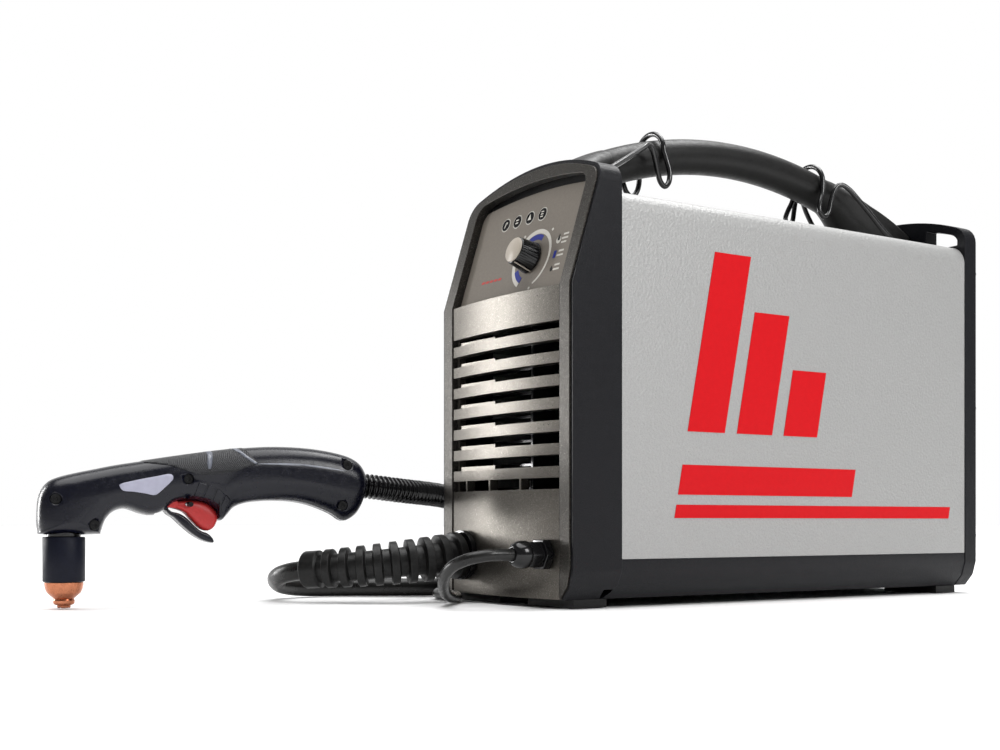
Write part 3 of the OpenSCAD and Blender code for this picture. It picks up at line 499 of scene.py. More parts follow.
RUN_ROUTE = [(.046, -.195, .031), (.046, -.206, .031), (.045, -.216, .031), (.0425, -.223, .03),
    (.037, -.2285, .028), (.027, -.231, .024), (.016, -.229, .018), (.005, -.223, .012),
    (-.007, -.214, .007), (-.018, -.203, .0042), (-.029, -.193, .0035), (-.042, -.187, .0035),
    (-.056, -.185, .0035), (-.069, -.182, .0035), (-.079, -.173, .0035), (-.084, -.158, .0035),
    (-.084, -.125, .0035), (-.084, -.075, .0035), (-.084, -.02, .0035), (-.084, .03, .0035),
    (-.086, .07, .0035), (-.094, .098, .0035), (-.106, .12, .0035), (-.114, .135, .0035),
    (-.1162, .15, .0035)]
TAIL_ROUTE = [(-.1227, .1256, .0248), (-.113, .142, .024), (-.103, .16, .021), (-.095, .178, .017),
    (-.091, .194, .013), (-.093, .208, .011), (-.101, .216, .01), (-.112, .22, .01)]


def coil(d, centre, turn_r, rows, cols, turns):
    """A neat wound coil: each layer's turns lie side by side, the layers on each other.

    The lead crosses to its next seat over the last CROSSING of each turn.
    """
    pitch = d * TURN_PITCH
    seats = []
    for row in range(rows):
        order = range(cols) if row % 2 == 0 else reversed(range(cols))
        height = d * (0.5 + row * LAYER_PITCH)
        seats += [(turn_r + pitch * ((cols - 1) / 2 - c), height) for c in order]
    out = []
    for i in range(int(turns * TURN_STEPS) + 1):
        t = i / TURN_STEPS
        k = min(int(t), len(seats) - 1)
        nxt = seats[min(k + 1, len(seats) - 1)]
        w = max(0.0, (t - k - (1 - CROSSING)) / CROSSING)
        w = w * w * (3 - 2 * w)
        r = seats[k][0] * (1 - w) + nxt[0] * w
        z = seats[k][1] * (1 - w) + nxt[1] * w
        a = 2 * math.pi * t
        out.append(Vector((centre[0] + r * math.cos(a), centre[1] + r * math.sin(a), z)))
    return out


def make_leads():
    """Both leads, with the boot and sleeve on one and the clamp on the other."""
    jacket = paint("lead_jacket")
    torch_coil = coil(TORCH_LEAD_D, **TORCH_COIL)
    path = (curve_through(FEED_ROUTE, ROUTE_STEPS)[:-1] + torch_coil[:-1]
            + curve_through(RETURN_ROUTE, ROUTE_STEPS)[:-1] + curve_through(SLEEVE_ROUTE, ROUTE_STEPS))
    path = even(path, TORCH_LEAD_STEP)
    lead = tube("torch_lead", path, TORCH_LEAD_D / 2, 20, jacket)
    place(lead, "torch_lead_feed", "torch_coil", "torch_lead_return")
    sleeve = make_sleeve()
    boot = make_boot()
    work_coil = coil(WORK_LEAD_D, **WORK_COIL)
    path = (curve_through(RUN_ROUTE, ROUTE_STEPS)[:-1] + work_coil[:-1]
            + curve_through(TAIL_ROUTE, ROUTE_STEPS))
    path = even(path, WORK_LEAD_STEP)
    lead = tube("work_lead", path, WORK_LEAD_D / 2, 16, jacket)
    place(lead, "work_lead_run", "work_coil", "work_lead_tail")
    clamp = [refined("clamp_jaw_fixed", 0.0009), refined("clamp_jaw_moving", 0.0009),
             refined("clamp_pin_spring", 0.0004)]


def make_sleeve():
    """Corrugated sleeve on the torch's end of the lead."""
    path = even(curve_through(SLEEVE_ROUTE, 8), 0.0003)

    def ribbed(s):
        phase = (s % SLEEVE_PITCH) / SLEEVE_PITCH
        return SLEEVE_D / 2 - SLEEVE_GROOVE * (0.5 - 0.5 * math.cos(2 * math.pi * phase)) ** 0.7

    return place(tube("torch_sleeve_ribbed", path, ribbed, 32, paint("gloss_black")), "torch_sleeve")


BOOT_EXIT = Vector((-.038, -.185, .029))
BOOT_BEND = 0.1
BOOT_TURN = math.radians(57)
BOOT_DROP = 0.009
BOOT_FINS = 10
BOOT_FIN_R, BOOT_FIN_TAPER = 14.6, 0.33
BOOT_CORE_R, BOOT_CORE_TAPER = 9.6, 1.0
BOOT_LIP, BOOT_LIP_START = 0.0012, 0.9
FIN_START, FIN_END, FIN_EDGE = 0.04, 0.6, 0.07
BOOT_STEPS = 480


def make_boot():
    """Tapered strain relief with thick fins, bent towards the torch and sinking a little."""
    tilt = Matrix.Rotation(math.asin(BOOT_DROP / (BOOT_BEND * math.sin(BOOT_TURN))), 4, "X")
    path = []
    for i in range(BOOT_STEPS + 1):
        a = -BOOT_TURN * i / BOOT_STEPS
        local = Vector((BOOT_BEND * (math.cos(a) - 1), BOOT_BEND * math.sin(a), 0))
        path.append(BOOT_EXIT + tilt @ local)
    total = BOOT_BEND * BOOT_TURN
    pitch = total / BOOT_FINS

    def finned(s):
        k = min(int(s / pitch), BOOT_FINS - 1)
        phase = s / pitch - k
        outer = (BOOT_FIN_R - BOOT_FIN_TAPER * k) * MM
        core = (BOOT_CORE_R - BOOT_CORE_TAPER * s / total) * MM
        if k == BOOT_FINS - 1:
            return outer - BOOT_LIP * max(0.0, (phase - BOOT_LIP_START) * 10) ** 2
        edge = min(phase - FIN_START, FIN_END - phase) / FIN_EDGE
        return core + (outer - core) * min(1.0, edge) ** 0.5 if edge > 0 else core

    return place(tube("torch_boot_finned", path, finned, 56, paint("rubber")), "torch_boot")


# ---------------------------------------------------------------- the torch

# Torch outlines are (forward, up) points in millimetres in its side view.
TORCH = Matrix.Translation((-.104, -.412, 0)) @ Matrix.Rotation(math.radians(-7.6), 4, "Z")
TORCH_T = 0.0145
SHELL_POWER = 2.5
INLAY_PROUD = 0.25
BAND_PROUD = 0.35
CURVE_STEPS = 4
SWELL_LEVELS = 14
SWELL_END = math.radians(82)
SHELL = [(-11, 42.5), (-14.5, 45), (-15, 56), (-13.5, 66), (-9, 72.5), (-3, 75.5), (6, 78), (16, 80.2),
    (28, 82.8), (42, 85.2), (62, 88.6), (84, 92), (103, 94.4), (124, 95.8), (146, 95.2), (165, 92.4),
    (176, 88.4), (181.5, 82), (183.3, 74), (181.5, 65), (178.5, 58), (174.5, 53), (168, 50.4), (160, 55),
    (147, 59.9), (135, 62.2), (121, 62.6), (107, 61.4), (98.5, 58.4), (94, 53.6), (91, 50.6),
    (88.4, 51.4), (87.4, 55.6), (83.5, 59.6), (77, 61.9), (70, 62.4), (63, 61.2), (58.5, 58), (54, 54.8),
    (49, 53.6), (43, 54.6), (34, 57.4), (27, 55.6), (22.4, 50.6), (20.2, 44), (17, 42.5)]
SHELL_SPINE = [(3, 51), (3, 58), (9, 64.5), (20, 68), (40, 70), (60, 74.5), (84, 77), (103, 78),
    (124, 78.5), (146, 77.5), (165, 74.5), (173, 72)]
TRIGGER = [(60.2, 58.5), (61.4, 61), (64, 62), (69, 62.6), (77, 62.6), (83.6, 60.4), (87.6, 56.6),
    (88.8, 52.6), (88, 49.4), (86, 46), (82.6, 44.4), (78.4, 45.6), (74.8, 48.8), (71.4, 52.6),
    (68.8, 55.3), (65, 57), (61, 58.1)]
TRIGGER_SPINE = [(62, 59.8), (68, 59), (74, 56), (80, 52), (84, 50)]
TRIGGER_HALF, TRIGGER_POWER = 6.4, 3
CHEEK_SIDES = (6.05, 6.6)
PIN_END = [(0, .0012), (.0008, .0010), (.0012, .0005), (.0012, -.0006)]
PIN_AT = (.0064, .0694, .0602)
TRIGGER_CHEEK = [(57, 58.6), (58.2, 60.2), (60, 61.4), (64, 62), (64, 58.2), (61, 58.1), (59, 58.2)]
LEVER = [(56.6, 57.4), (59, 54.2), (62.4, 52), (67, 47.6), (73, 42.5), (79.4, 38.7), (85.6, 37.1),
    (85.9, 39.2), (84, 41.8), (81.8, 43.3), (78.6, 44.4), (74.2, 47.9), (71.2, 51.1), (68.4, 53.3),
    (65, 55), (61, 55.9), (58.6, 57.6)]
LEVER_HALF, LEVER_POWER = 5.9, 4
LEVER_SPINE = [(58.4, 56), (64, 52.8), (69, 48.8), (75, 43.6), (80, 41), (84, 39.4)]
INLAY = [(44, 84.6), (58, 83), (68, 79.6), (75, 77.6), (84, 77.4), (97, 80), (110.5, 84.7), (96.5, 104),
    (44, 104)]


def closed_curve(points, steps):
    """Catmull-Rom round a closed outline."""
    n = len(points)
    pts = np.array(points, float)
    out = []
    for i in range(n):
        a, b, c, d = pts[i - 1], pts[i], pts[(i + 1) % n], pts[(i + 2) % n]
        for k in range(steps):
            t = k / steps
            out.append(0.5 * (2 * b + t * (c - a) + t * t * (2 * a - 5 * b + 4 * c - d)
                              + t ** 3 * (3 * b - a - 3 * c + d)))
    return np.array(out)


def nearest_on(line, points):
    """For each point, the nearest place on an open line."""
    line = np.array(line, float)
    best = np.zeros_like(points)
    gap = np.full(len(points), 1e9)
    for a, b in zip(line, line[1:]):
        t = np.clip(((points - a) @ (b - a)) / ((b - a) @ (b - a)), 0, 1)
        q = a + t[:, None] * (b - a)
        d = np.linalg.norm(points - q, axis=1)
        best[d < gap] = q[d < gap]
        gap = np.minimum(gap, d)
    return best


def pillow(name, outline, spine, half, power, side, material, seam=0.0):
    """One half of a moulded body: its outline swells from the parting plane to the flank.

    side is 1 or -1, half is the flank's distance in millimetres, and power squares off the
    swell. seam draws the parting edge in by that many millimetres.
    """
    rim = closed_curve(outline, CURVE_STEPS)
    heart = nearest_on(spine, rim)
    rings = []
    if seam:
        out = (rim - heart) / np.linalg.norm(rim - heart, axis=1)[:, None]
        rings.append((rim - out * seam, 0.05))
        rings.append((rim - out * seam * 0.2, 0.4))
    for i in range(1 if seam else 0, SWELL_LEVELS + 1):
        a = SWELL_END * i / SWELL_LEVELS
        c, s = math.cos(a) ** (2 / power), math.sin(a) ** (2 / power)
        rings.append((heart + (rim - heart) * c, max(half * s, 0.45 if seam else 0)))
    verts = [TORCH @ Vector((side * x * MM, p[0] * MM, p[1] * MM)) for ring, x in rings for p in ring]
    faces = loft_faces(len(rings), len(rim)) + end_faces(len(rings), len(rim))
    return new_object(name, verts, faces, material)


def carve(obj, tool, operation="DIFFERENCE"):
    """Takes the tool out of the object, or keeps only what is inside it, and removes the tool."""
    mod = obj.modifiers.new("carve", "BOOLEAN")
    mod.operation = operation
    mod.object = tool
    mod.solver = "EXACT"
    settle(obj)
    bpy.data.objects.remove(tool)


def side_prism(outline, x0, x1, axis=TORCH):
    """A prism of a side-view outline in millimetres, from x0 to x1."""
    n = len(outline)
    verts = [axis @ Vector((x * MM, u * MM, w * MM)) for x in (x0, x1) for u, w in outline]
    faces = [tuple(range(n)), tuple(range(2 * n - 1, n - 1, -1))]
    faces += [(k, (k + 1) % n, n + (k + 1) % n, n + k) for k in range(n)]
    return new_object("prism", verts, faces, smooth=False)


SCREWS = [(-6.2, 62.7), (15, 48), (69, 75), (165, 60), (168, 85)]
SCREW_WELL = [(0.0032, 0), (0.0032, 0.01)]
LEVER_SLOT = [(50.5, 50), (60, 50), (60, 61), (50.5, 61)]
LEVER_SLOT_HALF = 6.3
LEVER_ROOT = [(53.9, 58), (53.9, 62.6), (55, 63.4), (57.2, 63.4), (58.2, 62.4), (59, 56.8), (57.2, 56.2)]
BADGE = [(28.6, 70), (29.6, 71.8), (39.7, 74.3), (51, 76.6), (57, 77.8), (59.4, 77), (59.6, 74.8),
    (57, 71.8), (53.6, 68.6), (50.6, 66), (48.2, 65.2), (43, 66.2), (36.5, 67.1), (30.8, 67.6)]
GUARD_RIBS = [((74.4, 73.2), (72, 64.4)), ((80.2, 72.2), (77.8, 63.6)), ((85.6, 69.6), (83.3, 62.3)),
    ((90.6, 66.2), (88, 59)), ((94.6, 62.8), (90.4, 53.6))]
RIB_GAP = 0.4
PALE_BANDS = [
    [(80.2, 81), (79.8, 84), (81, 91), (81, 104), (84.2, 104), (84.2, 91), (82.6, 84), (81.8, 81)],
    [(96.6, 94), (96.6, 104), (100.2, 104), (100.2, 94), (104, 89.6), (110.6, 84.9), (109, 84.3),
     (102.4, 88.6)]]
TAIL_SEAM = [(110.4, 84.6), (123, 85.2), (136, 85.1), (147, 84.1), (157, 82.9), (166, 81.2)]
SEAM_HALF = 0.12
PLATE_RINGS = (1.0, 0.97, 0.8, 0.55, 0.3, 0.05)
PLATE_SINK = 0.0004
BADGE_LIFT, RIB_LIFT, SEAM_LIFT = 0.0004, 0.0005, 0.00012


def place_right(side, obj, node, slot=None):
    """The right-hand piece of a pair stands for the node, and the left-hand one goes with it."""
    if side > 0:
        place(obj, node, slot=slot)
    else:
        detail(obj, node)


def both_halves(name, node, outline, spine, half, power, material):
    """Right and left halves of a moulded piece."""
    for side, word in ((1, "right"), (-1, "left")):
        place_right(side, pillow(f"{name}_{word}", outline, spine, half, power, side, material), node)


def make_torch():
    """The torch's shells, trigger, safety lever, fasteners, head and nose."""
    plastic = paint("torch_plastic")
    make_torch_shells(plastic)
    both_halves("trigger_half", "torch_trigger", TRIGGER, TRIGGER_SPINE, TRIGGER_HALF, TRIGGER_POWER,
                paint("red_plastic"))
    both_halves("lever_half", "safety_lever", LEVER, LEVER_SPINE, LEVER_HALF, LEVER_POWER, plastic)
    for side, word in ((1, "right"), (-1, "left")):
        cheek = side_prism(TRIGGER_CHEEK, *sorted(side * x for x in CHEEK_SIDES))
        cheek.name = "trigger_cheek_" + word
        cheek.data.materials.append(paint("red_plastic"))
        soften(cheek, 0.0002)
        detail(cheek, "torch_trigger")
        turn = Matrix.Rotation(side * math.pi / 2, 4, "Y")
        at = TORCH @ Matrix.Translation((side * PIN_AT[0], PIN_AT[1], PIN_AT[2])) @ turn
        detail(turned("trigger_pin_end", PIN_END, 24, paint("steel"), at), "torch_trigger")
    make_lever_root(plastic)
    # Painted shade: the pins and screws take the black plastic finish so the deep screw wells read dark.
    refined("torch_pins_screws", 0.0003, material=paint("black_plastic"))
    refined("torch_head", 0.0004, material=paint("black_metal"))
    make_torch_nose()


def make_lever_root(plastic):
    """The hinged root of the safety lever, between the trigger's cheeks."""
    root = side_prism(LEVER_ROOT, -5, 5)
    root.name = "lever_root"
    root.data.materials.append(plastic)
    soften(root, 0.0006)
    detail(root, "safety_lever")


def saddle(name, cut, proud, side, material):
    """The part of a slightly swollen shell half that lies inside the cut outline."""
    skin = pillow(name, drawn_out(SHELL, proud), SHELL_SPINE, TORCH_T / MM + proud, SHELL_POWER, side,
                  material)
    carve(skin, side_prism(cut, -20, 20), "INTERSECT")
    return skin


def guard_rib(a, b):
    """The outline between two of the guard's lines, with a gap at each."""
    rib = [(a[0][0] + RIB_GAP, a[0][1]), (b[0][0] - RIB_GAP, b[0][1]), (b[1][0] - RIB_GAP, b[1][1]),
           (a[1][0] + RIB_GAP, a[1][1])]
    return [tuple(np.array(rib[k]) * (1 - t) + np.array(rib[(k + 1) % 4]) * t)
            for k in range(4) for t in (0.04, 0.35, 0.65, 0.96)]


def make_torch_shells(plastic):
    """Both shells with their screw wells, lever slot, knurled saddle, badges, ribs and seams."""
    for side, node in ((1, "torch_shell_right"), (-1, "torch_shell_left")):
        word = "right" if side > 0 else "left"
        shell = pillow(node + "_skin", SHELL, SHELL_SPINE, TORCH_T / MM, SHELL_POWER, side, plastic,
                       seam=0.5)
        for u, w in SCREWS:
            across = TORCH @ Matrix.Translation((side * 0.010, u * MM, w * MM)) @ Matrix.Rotation(
                side * math.pi / 2, 4, "Y")
            carve(shell, turned("hole", SCREW_WELL, 32, None, across))
        carve(shell, side_prism(LEVER_SLOT, -LEVER_SLOT_HALF, LEVER_SLOT_HALF))
        place(shell, node)
        tree = BVHTree.FromObject(shell, bpy.context.evaluated_depsgraph_get())
        plate = fitted_plate(f"torch_badge_{word}", BADGE, side, tree, BADGE_LIFT, paint("badge"), 6)
        place_right(side, plate, "torch_badges")
        for i, (a, b) in enumerate(zip(GUARD_RIBS, GUARD_RIBS[1:])):
            rib = guard_rib(a, b)
            detail(fitted_plate(f"guard_rib_{word}_{i}", rib, side, tree, RIB_LIFT, plastic, 2), node)
        line = [(u, w + SEAM_HALF) for u, w in TAIL_SEAM]
        line += [(u, w - SEAM_HALF) for u, w in TAIL_SEAM[::-1]]
        seam = fitted_plate(f"tail_seam_{word}", line, side, tree, SEAM_LIFT, paint("pale_insert"), 3)
        detail(seam, node)
        inlay = saddle(f"grip_inlay_{word}", INLAY, INLAY_PROUD, side, paint("torch_knurl"))
        place_right(side, inlay, "grip_inlay", slot="torch_plastic")
        for i, band in enumerate(PALE_BANDS):
            strip = saddle(f"pale_band_{word}_{i}", band, BAND_PROUD, side, paint("pale_insert"))
            detail(strip, "grip_inlay")


def drawn_out(outline, d):
    """The outline moved out by d along the normal at each corner."""
    pts = np.array(outline, float)
    along = np.roll(pts, -1, axis=0) - np.roll(pts, 1, axis=0)
    along /= np.linalg.norm(along, axis=1)[:, None]
    return pts + d * np.stack([-along[:, 1], along[:, 0]], 1)


CAP_PROFILE = [(.0092, .0154), (.0114, .0154), (.0118, .0158), (.0118, .0407), (.0114, .0411),
    (.0092, .0411)]
RING_HEIGHTS = {"lower": .0152, "upper": .0416}
SHIELD_PROFILE = [(.0024, .0006), (.0034, .0003), (.0038, .0008), (.0038, .0018), (.0054, .0023),
    (.0060, .0031), (.0061, .0046), (.0056, .0055), (.0062, .0061), (.0090, .0086), (.0096, .0093),
    (.0104, .0112), (.0109, .0134), (.0110, .0150), (.0090, .0150)]
NOTCH = [(2, -1), (5, -1), (5, 1.0), (2, 1.0)]
NOTCH_HALF = 0.55


def make_torch_nose():
    """Retaining cap with a dark ring at each end, and the copper shield with a castellated tip."""
    cap = turned("retaining_cap_skin", CAP_PROFILE, 96, paint("cap_plastic"), TORCH)
    place(cap, "retaining_cap")
    for name, z in RING_HEIGHTS.items():
        ring = [(.0078, z - .0007), (.0092, z - .0006), (.0092, z + .0006), (.0078, z + .0007)]
        detail(turned(f"nose_ring_{name}", ring, 64, paint("black_metal"), TORCH), "torch_head")
    tip = turned("torch_shield_skin", SHIELD_PROFILE, 96, paint("copper"), TORCH)
    for k in range(4):
        axis = TORCH @ Matrix.Rotation(math.pi / 4 + k * math.pi / 2, 4, "Z")
        carve(tip, side_prism(NOTCH, -NOTCH_HALF, NOTCH_HALF, axis))
    soften(tip, 0.00015, 25)
    place(tip, "torch_shield")


def fitted_plate(name, outline, side, tree, lift, material, steps):
    """A thin plate that lies lift above a curved flank and sinks into it at its rim."""
    rim = closed_curve(outline, steps)
    centre = rim.mean(axis=0)
    verts = []
    to_local = TORCH.inverted()
    for level, f in enumerate(PLATE_RINGS):
        for p in centre + (rim - centre) * f:
            origin = TORCH @ Vector((side * 0.04, p[0] * MM, p[1] * MM))
            hit = tree.ray_cast(origin, TORCH.to_3x3() @ Vector((-side, 0, 0)))[0]
            x = (to_local @ hit).x if hit else side * TORCH_T
            x += side * (-PLATE_SINK if level == 0 else lift)
            verts.append(TORCH @ Vector((x, p[0] * MM, p[1] * MM)))
    inner_face = end_faces(len(PLATE_RINGS), len(rim))[1]
    return new_object(name, verts, loft_faces(len(PLATE_RINGS), len(rim)) + [inner_face], material)


# ---------------------------------------------------------------- the power source

LEAN = math.radians(17.2)
ON_FACE = Matrix.Translation((0, -.178, .186)) @ Matrix.Rotation(-LEAN, 4, "X")
KNOB = (.0135, .0250)
DIAL = (13.2, 25.0)
LABEL_DEPTH = 5
LENS_X = (-26.9, -14.2, -0.6, 12.7)
KNOB_FOOT = 0.0045
KNOB_LENGTH = 0.0130
KNOB_PROFILE = [(.0090, 0), (.0099, .0004), (.0099, .0012), (.0096, .0018), (.0084, .0122),
    (.0082, .0128), (.0077, KNOB_LENGTH)]
FLUTES, FLUTE_DEPTH = 36, 0.00025
FLUTED_POINTS = (3, 4)
POINTER_TURN = math.radians(-68)


def into_face(x, v, depth):
    """Places a lathe piece on the leaning face: its height runs outwards from the depth given."""
    return ON_FACE @ Matrix.Translation((x, depth, v)) @ Matrix.Rotation(math.pi / 2, 4, "X")


def make_knob():
    """Fluted knob with a pointer rib, and its pale cap."""
    black = paint("gloss_black")
    length = KNOB_LENGTH
    verts = []
    sides = FLUTES * 4
    axis = into_face(*KNOB, KNOB_FOOT)
    for k in range(sides):
        a = 2 * math.pi * k / sides
        for i, (r, h) in enumerate(KNOB_PROFILE):
            groove = FLUTE_DEPTH if k % 4 == 0 and i in FLUTED_POINTS else 0
            verts.append(axis @ Vector(((r - groove) * math.cos(a), (r - groove) * math.sin(a), h)))
    place(new_object("current_knob_skin", verts, lathe_faces(KNOB_PROFILE, sides), black), "current_knob")
    cap = turned("knob_cap_skin", [(0, length - .0006), (.0076, length - .0006), (.0078, length + .0004),
        (.0074, length + .0009), (0, length + .0010)], 64, paint("cream_plastic"), axis)
    place(cap, "knob_cap")
    swing = axis @ Matrix.Rotation(POINTER_TURN, 4, "Z")
    for name, material, half, low, high, up in (("pointer_rib", black, .0011, .0080, .0100, length),
            ("pointer_line", paint("cream_plastic"), .0004, .0098, .0102, length - .0004)):
        outline = [(low, 0.0006), (high, 0.0006), (high - .0013, up), (low - .0013, up)]
        verts = [swing @ Vector((r, y, h)) for y in (-half, half) for r, h in outline]
        faces = [(0, 1, 2, 3), (7, 6, 5, 4), (0, 4, 5, 1), (1, 5, 6, 2), (2, 6, 7, 3), (3, 7, 4, 0)]
        detail(new_object(name, verts, faces, material, smooth=False), "current_knob")


def marks(name, outlines, color, lift=0.12):
    """Printed marks on the control label, as skins lift millimetres proud of it."""
    verts, faces = [], []
    for outline in outlines:
        base = len(verts)
        n = len(outline)
        verts += [ON_FACE @ Vector((x * MM, d * MM, v * MM))
                  for d in (LABEL_DEPTH - lift, LABEL_DEPTH + 0.1) for x, v in outline]
        faces.append(tuple(base + k for k in range(n)))
        faces.append(tuple(base + n + k for k in range(n))[::-1])
        faces += [(base + k, base + n + k, base + n + (k + 1) % n, base + (k + 1) % n) for k in range(n)]
    detail(new_object("print_" + name, verts, faces, ink(name, color), smooth=False), "control_label")


def sector(r0, r1, a0, a1, taper=0.0, at=DIAL):
    """A curved band round the knob; taper thins it from its inner side towards a1."""
    steps = max(8, int(abs(a1 - a0) / 4))
    turn = [math.radians(a0 + (a1 - a0) * k / steps) for k in range(steps + 1)]
    outer = [(at[0] + r1 * math.cos(a), at[1] + r1 * math.sin(a)) for a in turn]
    inner = []
    for k, a in enumerate(turn):
        r = r0 + (r1 - r0) * taper * max(0.0, k / steps * 2 - 1)
        inner.append((at[0] + r * math.cos(a), at[1] + r * math.sin(a)))
    return outer + inner[::-1]


def bar(x, v, w, h, slant=0.0):
    """A plain bar centred on (x, v)."""
    return [(x - w / 2 - slant, v - h / 2), (x + w / 2 - slant, v - h / 2),
            (x + w / 2 + slant, v + h / 2), (x - w / 2 + slant, v + h / 2)]


SCALE_DOTS = ((28.5, 41.6), (-0.6, 41.8), (-6.6, 25), (18.5, 5.2))
TEXT_BARS = ((44.4, 36, 5), (44, 33.4, 6), (43.6, 30.8, 5), (43.4, 25.4, 5), (43, 22.6, 6),
             (42.8, 16.6, 5), (42.6, 13.8, 6))
WHITE_INK = (0.50, 0.48, 0.44)
BLUE_INK = (0.014, 0.024, 0.21)
BLACK_INK = (0.006, 0.006, 0.006)
RED_INK = (0.42, 0.05, 0.045)
ICON_INK = (0.55, 0.53, 0.48)


def make_label_print():
    """Scale ring, index marks and plain bars where the machine has its printing."""
    white = [sector(16.2, 19.2, 243, -66, 0.6)]
    white += [sector(0, 4.5, 0, 360, at=(x, 54.5)) for x in LENS_X]
    white += [sector(0, 0.9, 0, 360, at=spot) for spot in SCALE_DOTS]
    white += [sector(0, 2.3, 0, 360, at=(37.8, 33))]
    white += [bar(*spot, 1.1) for spot in TEXT_BARS]
    marks("white", white, WHITE_INK)
    blue = [sector(12.4, 15.8, 62, 118), sector(12.8, 16.4, 205, 245), bar(37.4, 23.8, 2.4, 4.6, 0.2)]
    marks("blue", blue, BLUE_INK, 0.14)
    drops = [[(37.8, 36.8), (36.4, 34), (37, 32.6), (38.6, 32.6), (39.2, 34)],
             [(37.6, 16.6), (36.4, 14.4), (37, 13), (38.4, 13), (39, 14.4)]]
    marks("black", drops, BLACK_INK, 0.16)
    marks("red", [bar(-36 + 4.6 * k, 16.4, 3.4, 1.5, 0.3) for k in range(5)], RED_INK)
    bolt, waves, cone, stack = LENS_X
    icons = [bar(bolt, 54.2, 0.8, 3.6, 0.5), bar(bolt + 0.9, 55.6, 1.6, 1.2)]
    icons += [bar(waves, v, 2.6, 0.8, 0.3) for v in (55.4, 53.4)]
    icons += [[(cone, 56.8), (cone - 1.7, 53), (cone + 1.7, 53)]]
    icons += [bar(stack, v, 2.6, 0.7) for v in (56, 54.4, 52.8)]
    marks("icons", icons, ICON_INK, 0.5)


HANDLE_MID = Vector((0, .010, -.010))
HANDLE_BEND = 0.305
HANDLE_R = 0.0115
HANDLE_FRONT_Y, HANDLE_REAR_Y = -0.1414, 0.1659
COVER_TOP = 0.244
WIRE_R = 0.00175
WIRE_GAP = 0.0003
HOOK_RISE = 0.0024
HOOK_Y = {"front": -0.062, "rear": 0.084}
# One leg of each hook, from the handle down, back up and out to its bezel.
HOOK_FRONT = [(.0144, -.06, .282), (.0154, -.0586, .275), (.0162, -.06, .2685), (.0168, -.0639, .265),
    (.0172, -.068, .2675), (.0176, -.0704, .273), (.0182, -.0732, .281), (.019, -.0764, .2868),
    (.0215, -.082, .288), (.027, -.091, .283), (.04, -.1114, .2723), (.056, -.138, .2584),
    (.058, -.1414, .2566)]
HOOK_REAR = [(.0144, .0824, .28), (.0156, .079, .2725), (.0164, .0776, .267), (.017, .0812, .263),
    (.0174, .0856, .2665), (.0178, .0878, .275), (.0186, .0904, .283), (.02, .095, .2868),
    (.0225, .101, .2836), (.025, .108, .2765), (.027, .117, .268), (.0284, .129, .2575),
    (.029, .142, .2494), (.0296, .153, .2466), (.03, .1659, .2464)]


def handle_z(y):
    """The height of the handle's middle line at y."""
    return HANDLE_MID.z + math.sqrt(HANDLE_BEND ** 2 - (y - HANDLE_MID.y) ** 2)


def make_hooks():
    """Two bent wires that hold the leads over the handle."""
    wire = paint("black_metal")
    r = HANDLE_R + WIRE_R + WIRE_GAP
    for name, leg in (("front", HOOK_FRONT), ("rear", HOOK_REAR)):
        y = HOOK_Y[name]
        z = handle_z(y) + HOOK_RISE
        over = [Vector((r * math.cos(a), y, z + r * math.sin(a))) for a in np.linspace(0, math.pi, 25)]
        right = curve_through([(r, y, z)] + leg, 8)[::-1]
        left = [Vector((-p.x, p.y, p.z)) for p in right[::-1]]
        path = even(right[:-1] + over + left[1:], 0.0012)
        hook = tube(f"wire_hook_{name}", path, WIRE_R, 16, wire, start=(0, 1, 0.3))
        place(hook, "wire_hooks") if name == "front" else detail(hook, "wire_hooks")


# Stations of the handle's bases: (y, half width, rise, fall).
FRONT_BASE = [(-.1414, .029, .0142, .0142), (-.134, .0255, .014, .014), (-.124, .0185, .0137, .0137),
    (-.113, .0140, .0134, .0134), (-.104, .0122, .0128, .0128), (-.100, .0110, .0118, .0118)]
REAR_BASE = [(.096, .0110, .0118, .0118), (.101, .0122, .0127, .0130), (.108, .0132, .0131, .018),
    (.116, .0148, .0134, .026), (.124, .0168, .0136, .034), (.136, .0196, .0139, .04),
    (.150, .0218, .0141, .04), (.1659, .0226, .0143, .04)]
FLARE_SIDES = 72


def flare(name, stations, ridges, depth, material):
    """A flared base round the handle: (y, half width, rise, fall) stations, ridged towards its foot."""
    rings = curve_through(stations, ROUTE_STEPS)
    widest = max(r[1] for r in rings)
    verts = []
    for y, half, rise, fall in rings:
        mid = handle_z(y)
        grown = max(0.0, (half - HANDLE_R) / (widest - HANDLE_R))
        for k in range(FLARE_SIDES):
            a = 2 * math.pi * k / FLARE_SIDES
            swell = 1 - depth * grown * (0.5 + 0.5 * math.cos(ridges * a))
            z = mid + (rise if a < math.pi else fall) * swell * math.sin(a)
            verts.append(Vector((half * swell * math.cos(a), y, max(z, COVER_TOP + 0.0002))))
    faces = loft_faces(len(rings), FLARE_SIDES) + end_faces(len(rings), FLARE_SIDES)
    return new_object(name, verts, faces, material)


def make_handle():
    """The arched tube and its flared bases."""
    a0 = math.asin((HANDLE_REAR_Y - HANDLE_MID.y) / HANDLE_BEND)
    a1 = math.asin((HANDLE_MID.y - HANDLE_FRONT_Y) / HANDLE_BEND)
    path = [HANDLE_MID + Vector((0, -HANDLE_BEND * math.sin(a), HANDLE_BEND * math.cos(a)))
            for a in np.linspace(-a0, a1, 80)]
    rubber = paint("rubber")
    place(tube("handle_skin", path, HANDLE_R, 48, rubber, start=(1, 0, 0)), "handle")
    place(flare("handle_base_front", FRONT_BASE, 1, 0.0, rubber), "handle_front_mount")
    place(flare("handle_base_rear", REAR_BASE, 8, 0.10, rubber), "handle_rear_mount")


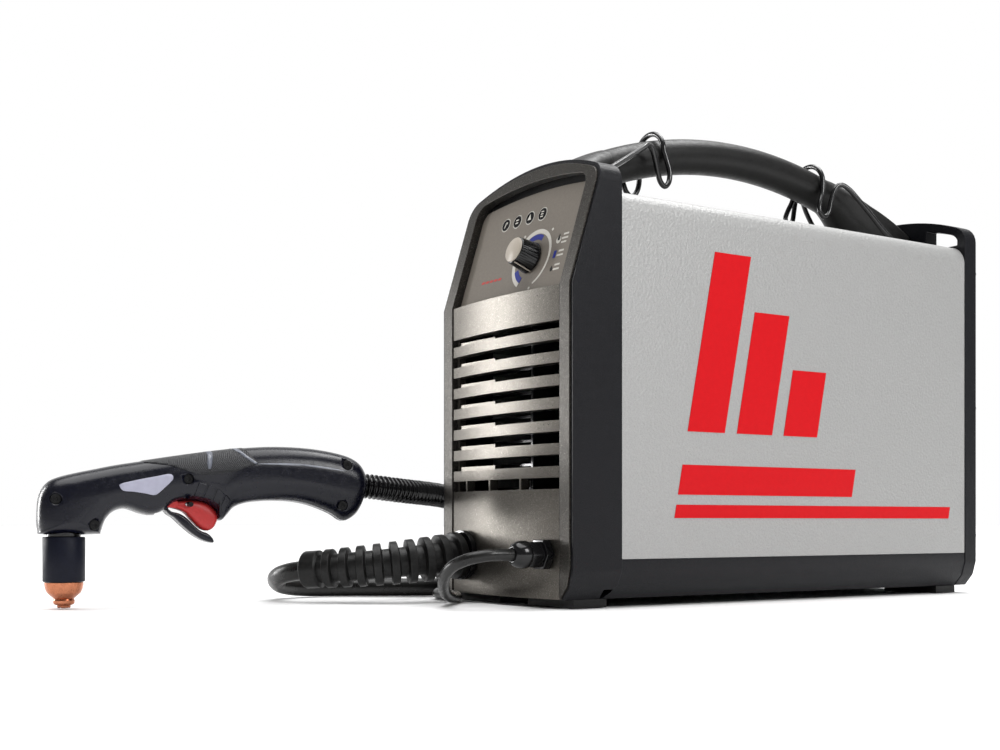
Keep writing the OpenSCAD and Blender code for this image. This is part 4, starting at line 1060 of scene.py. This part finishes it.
GLAND_PIECES = (
    # name, sides, edge radius, (radius, height) profile
    ("work_gland_foot", 32, 0.0002, [(.0037, -.008), (.0060, -.008), (.0060, .0014), (.0037, .0014)]),
    ("work_gland_flange", 6, 0.0005, [(.0037, .0012), (.0098, .0012), (.0098, .0064), (.0037, .0064)]),
    ("work_gland_body", 6, 0.0006, [(.0037, .0062), (.0084, .0062), (.0084, .0150), (.0037, .0150)]),
    ("work_gland_dome", 48, 0.0, [(.0037, .0148), (.0078, .0148), (.0081, .0158), (.0080, .0186),
        (.0075, .0212), (.0064, .0232), (.0050, .0243), (.0042, .0246), (.0037, .0244)]),
)


def make_work_gland():
    """Cable gland: flange hexagon, body hexagon and a domed clamping nut."""
    black = paint("gloss_black")
    axis = Matrix.Translation((.046, -.178, .031)) @ Matrix.Rotation(math.pi / 2, 4, "X")
    for k, (name, sides, edge, profile) in enumerate(GLAND_PIECES):
        obj = turned(name, profile + [profile[0]], sides, black, axis)
        if edge:
            soften(obj, edge, 20)
        place(obj, "work_gland") if k == 0 else detail(obj, "work_gland")


# Nodes that keep their CAD shape, with the radius of their rounded edges.
PLAIN = {
    "front_shoulder": 0.0012, "grille_panel": 0.0008, "control_label": 0.0002,
    "control_housing": 0.0003, "indicator_lenses": 0.0002, "pot_shaft": 0.0002, "potentiometer": 0.0003,
    "control_board": 0.0001, "cover": 0.0003, "side_graphics": 0.00008, "base_tray": 0.0008,
    "feet": 0.0008, "rear_bezel": 0.0016, "rear_panel": 0.0003, "bezel_screws": 0.0003,
    "fan_guard": 0.0004, "fan_frame": 0.0006, "fan_rotor": 0.0004, "switch_housing": 0.0006,
    "power_rocker": 0.0006, "power_gland": 0.0006, "air_inlet": 0.0005, "air_filter": 0.0008,
    "solenoid_valve": 0.0006, "air_hose": 0.0003, "power_board": 0.0002, "capacitors": 0.0008,
    "transformer": 0.0006,
}

make_camera()
make_studio()
make_leads()
for node, width in PLAIN.items():
    refined(node, width)
# The face frame takes the darker copy of the sparkle plastic, a painted shade.
refined("face_frame", 0.0016, material=paint("shaded_frame_plastic"))
refined("torch_bulkhead", 0.0005, material=paint("gloss_black"))
# Painted shade: the chassis plate and the heat sink take the black metal finish so the cabinet's inside
# reads dark through the grille slots.
for node in ("chassis_plate", "heat_sink"):
    refined(node, 0.0002, material=paint("black_metal"))
make_knob()
make_label_print()
make_hooks()
make_handle()
make_work_gland()
make_torch()
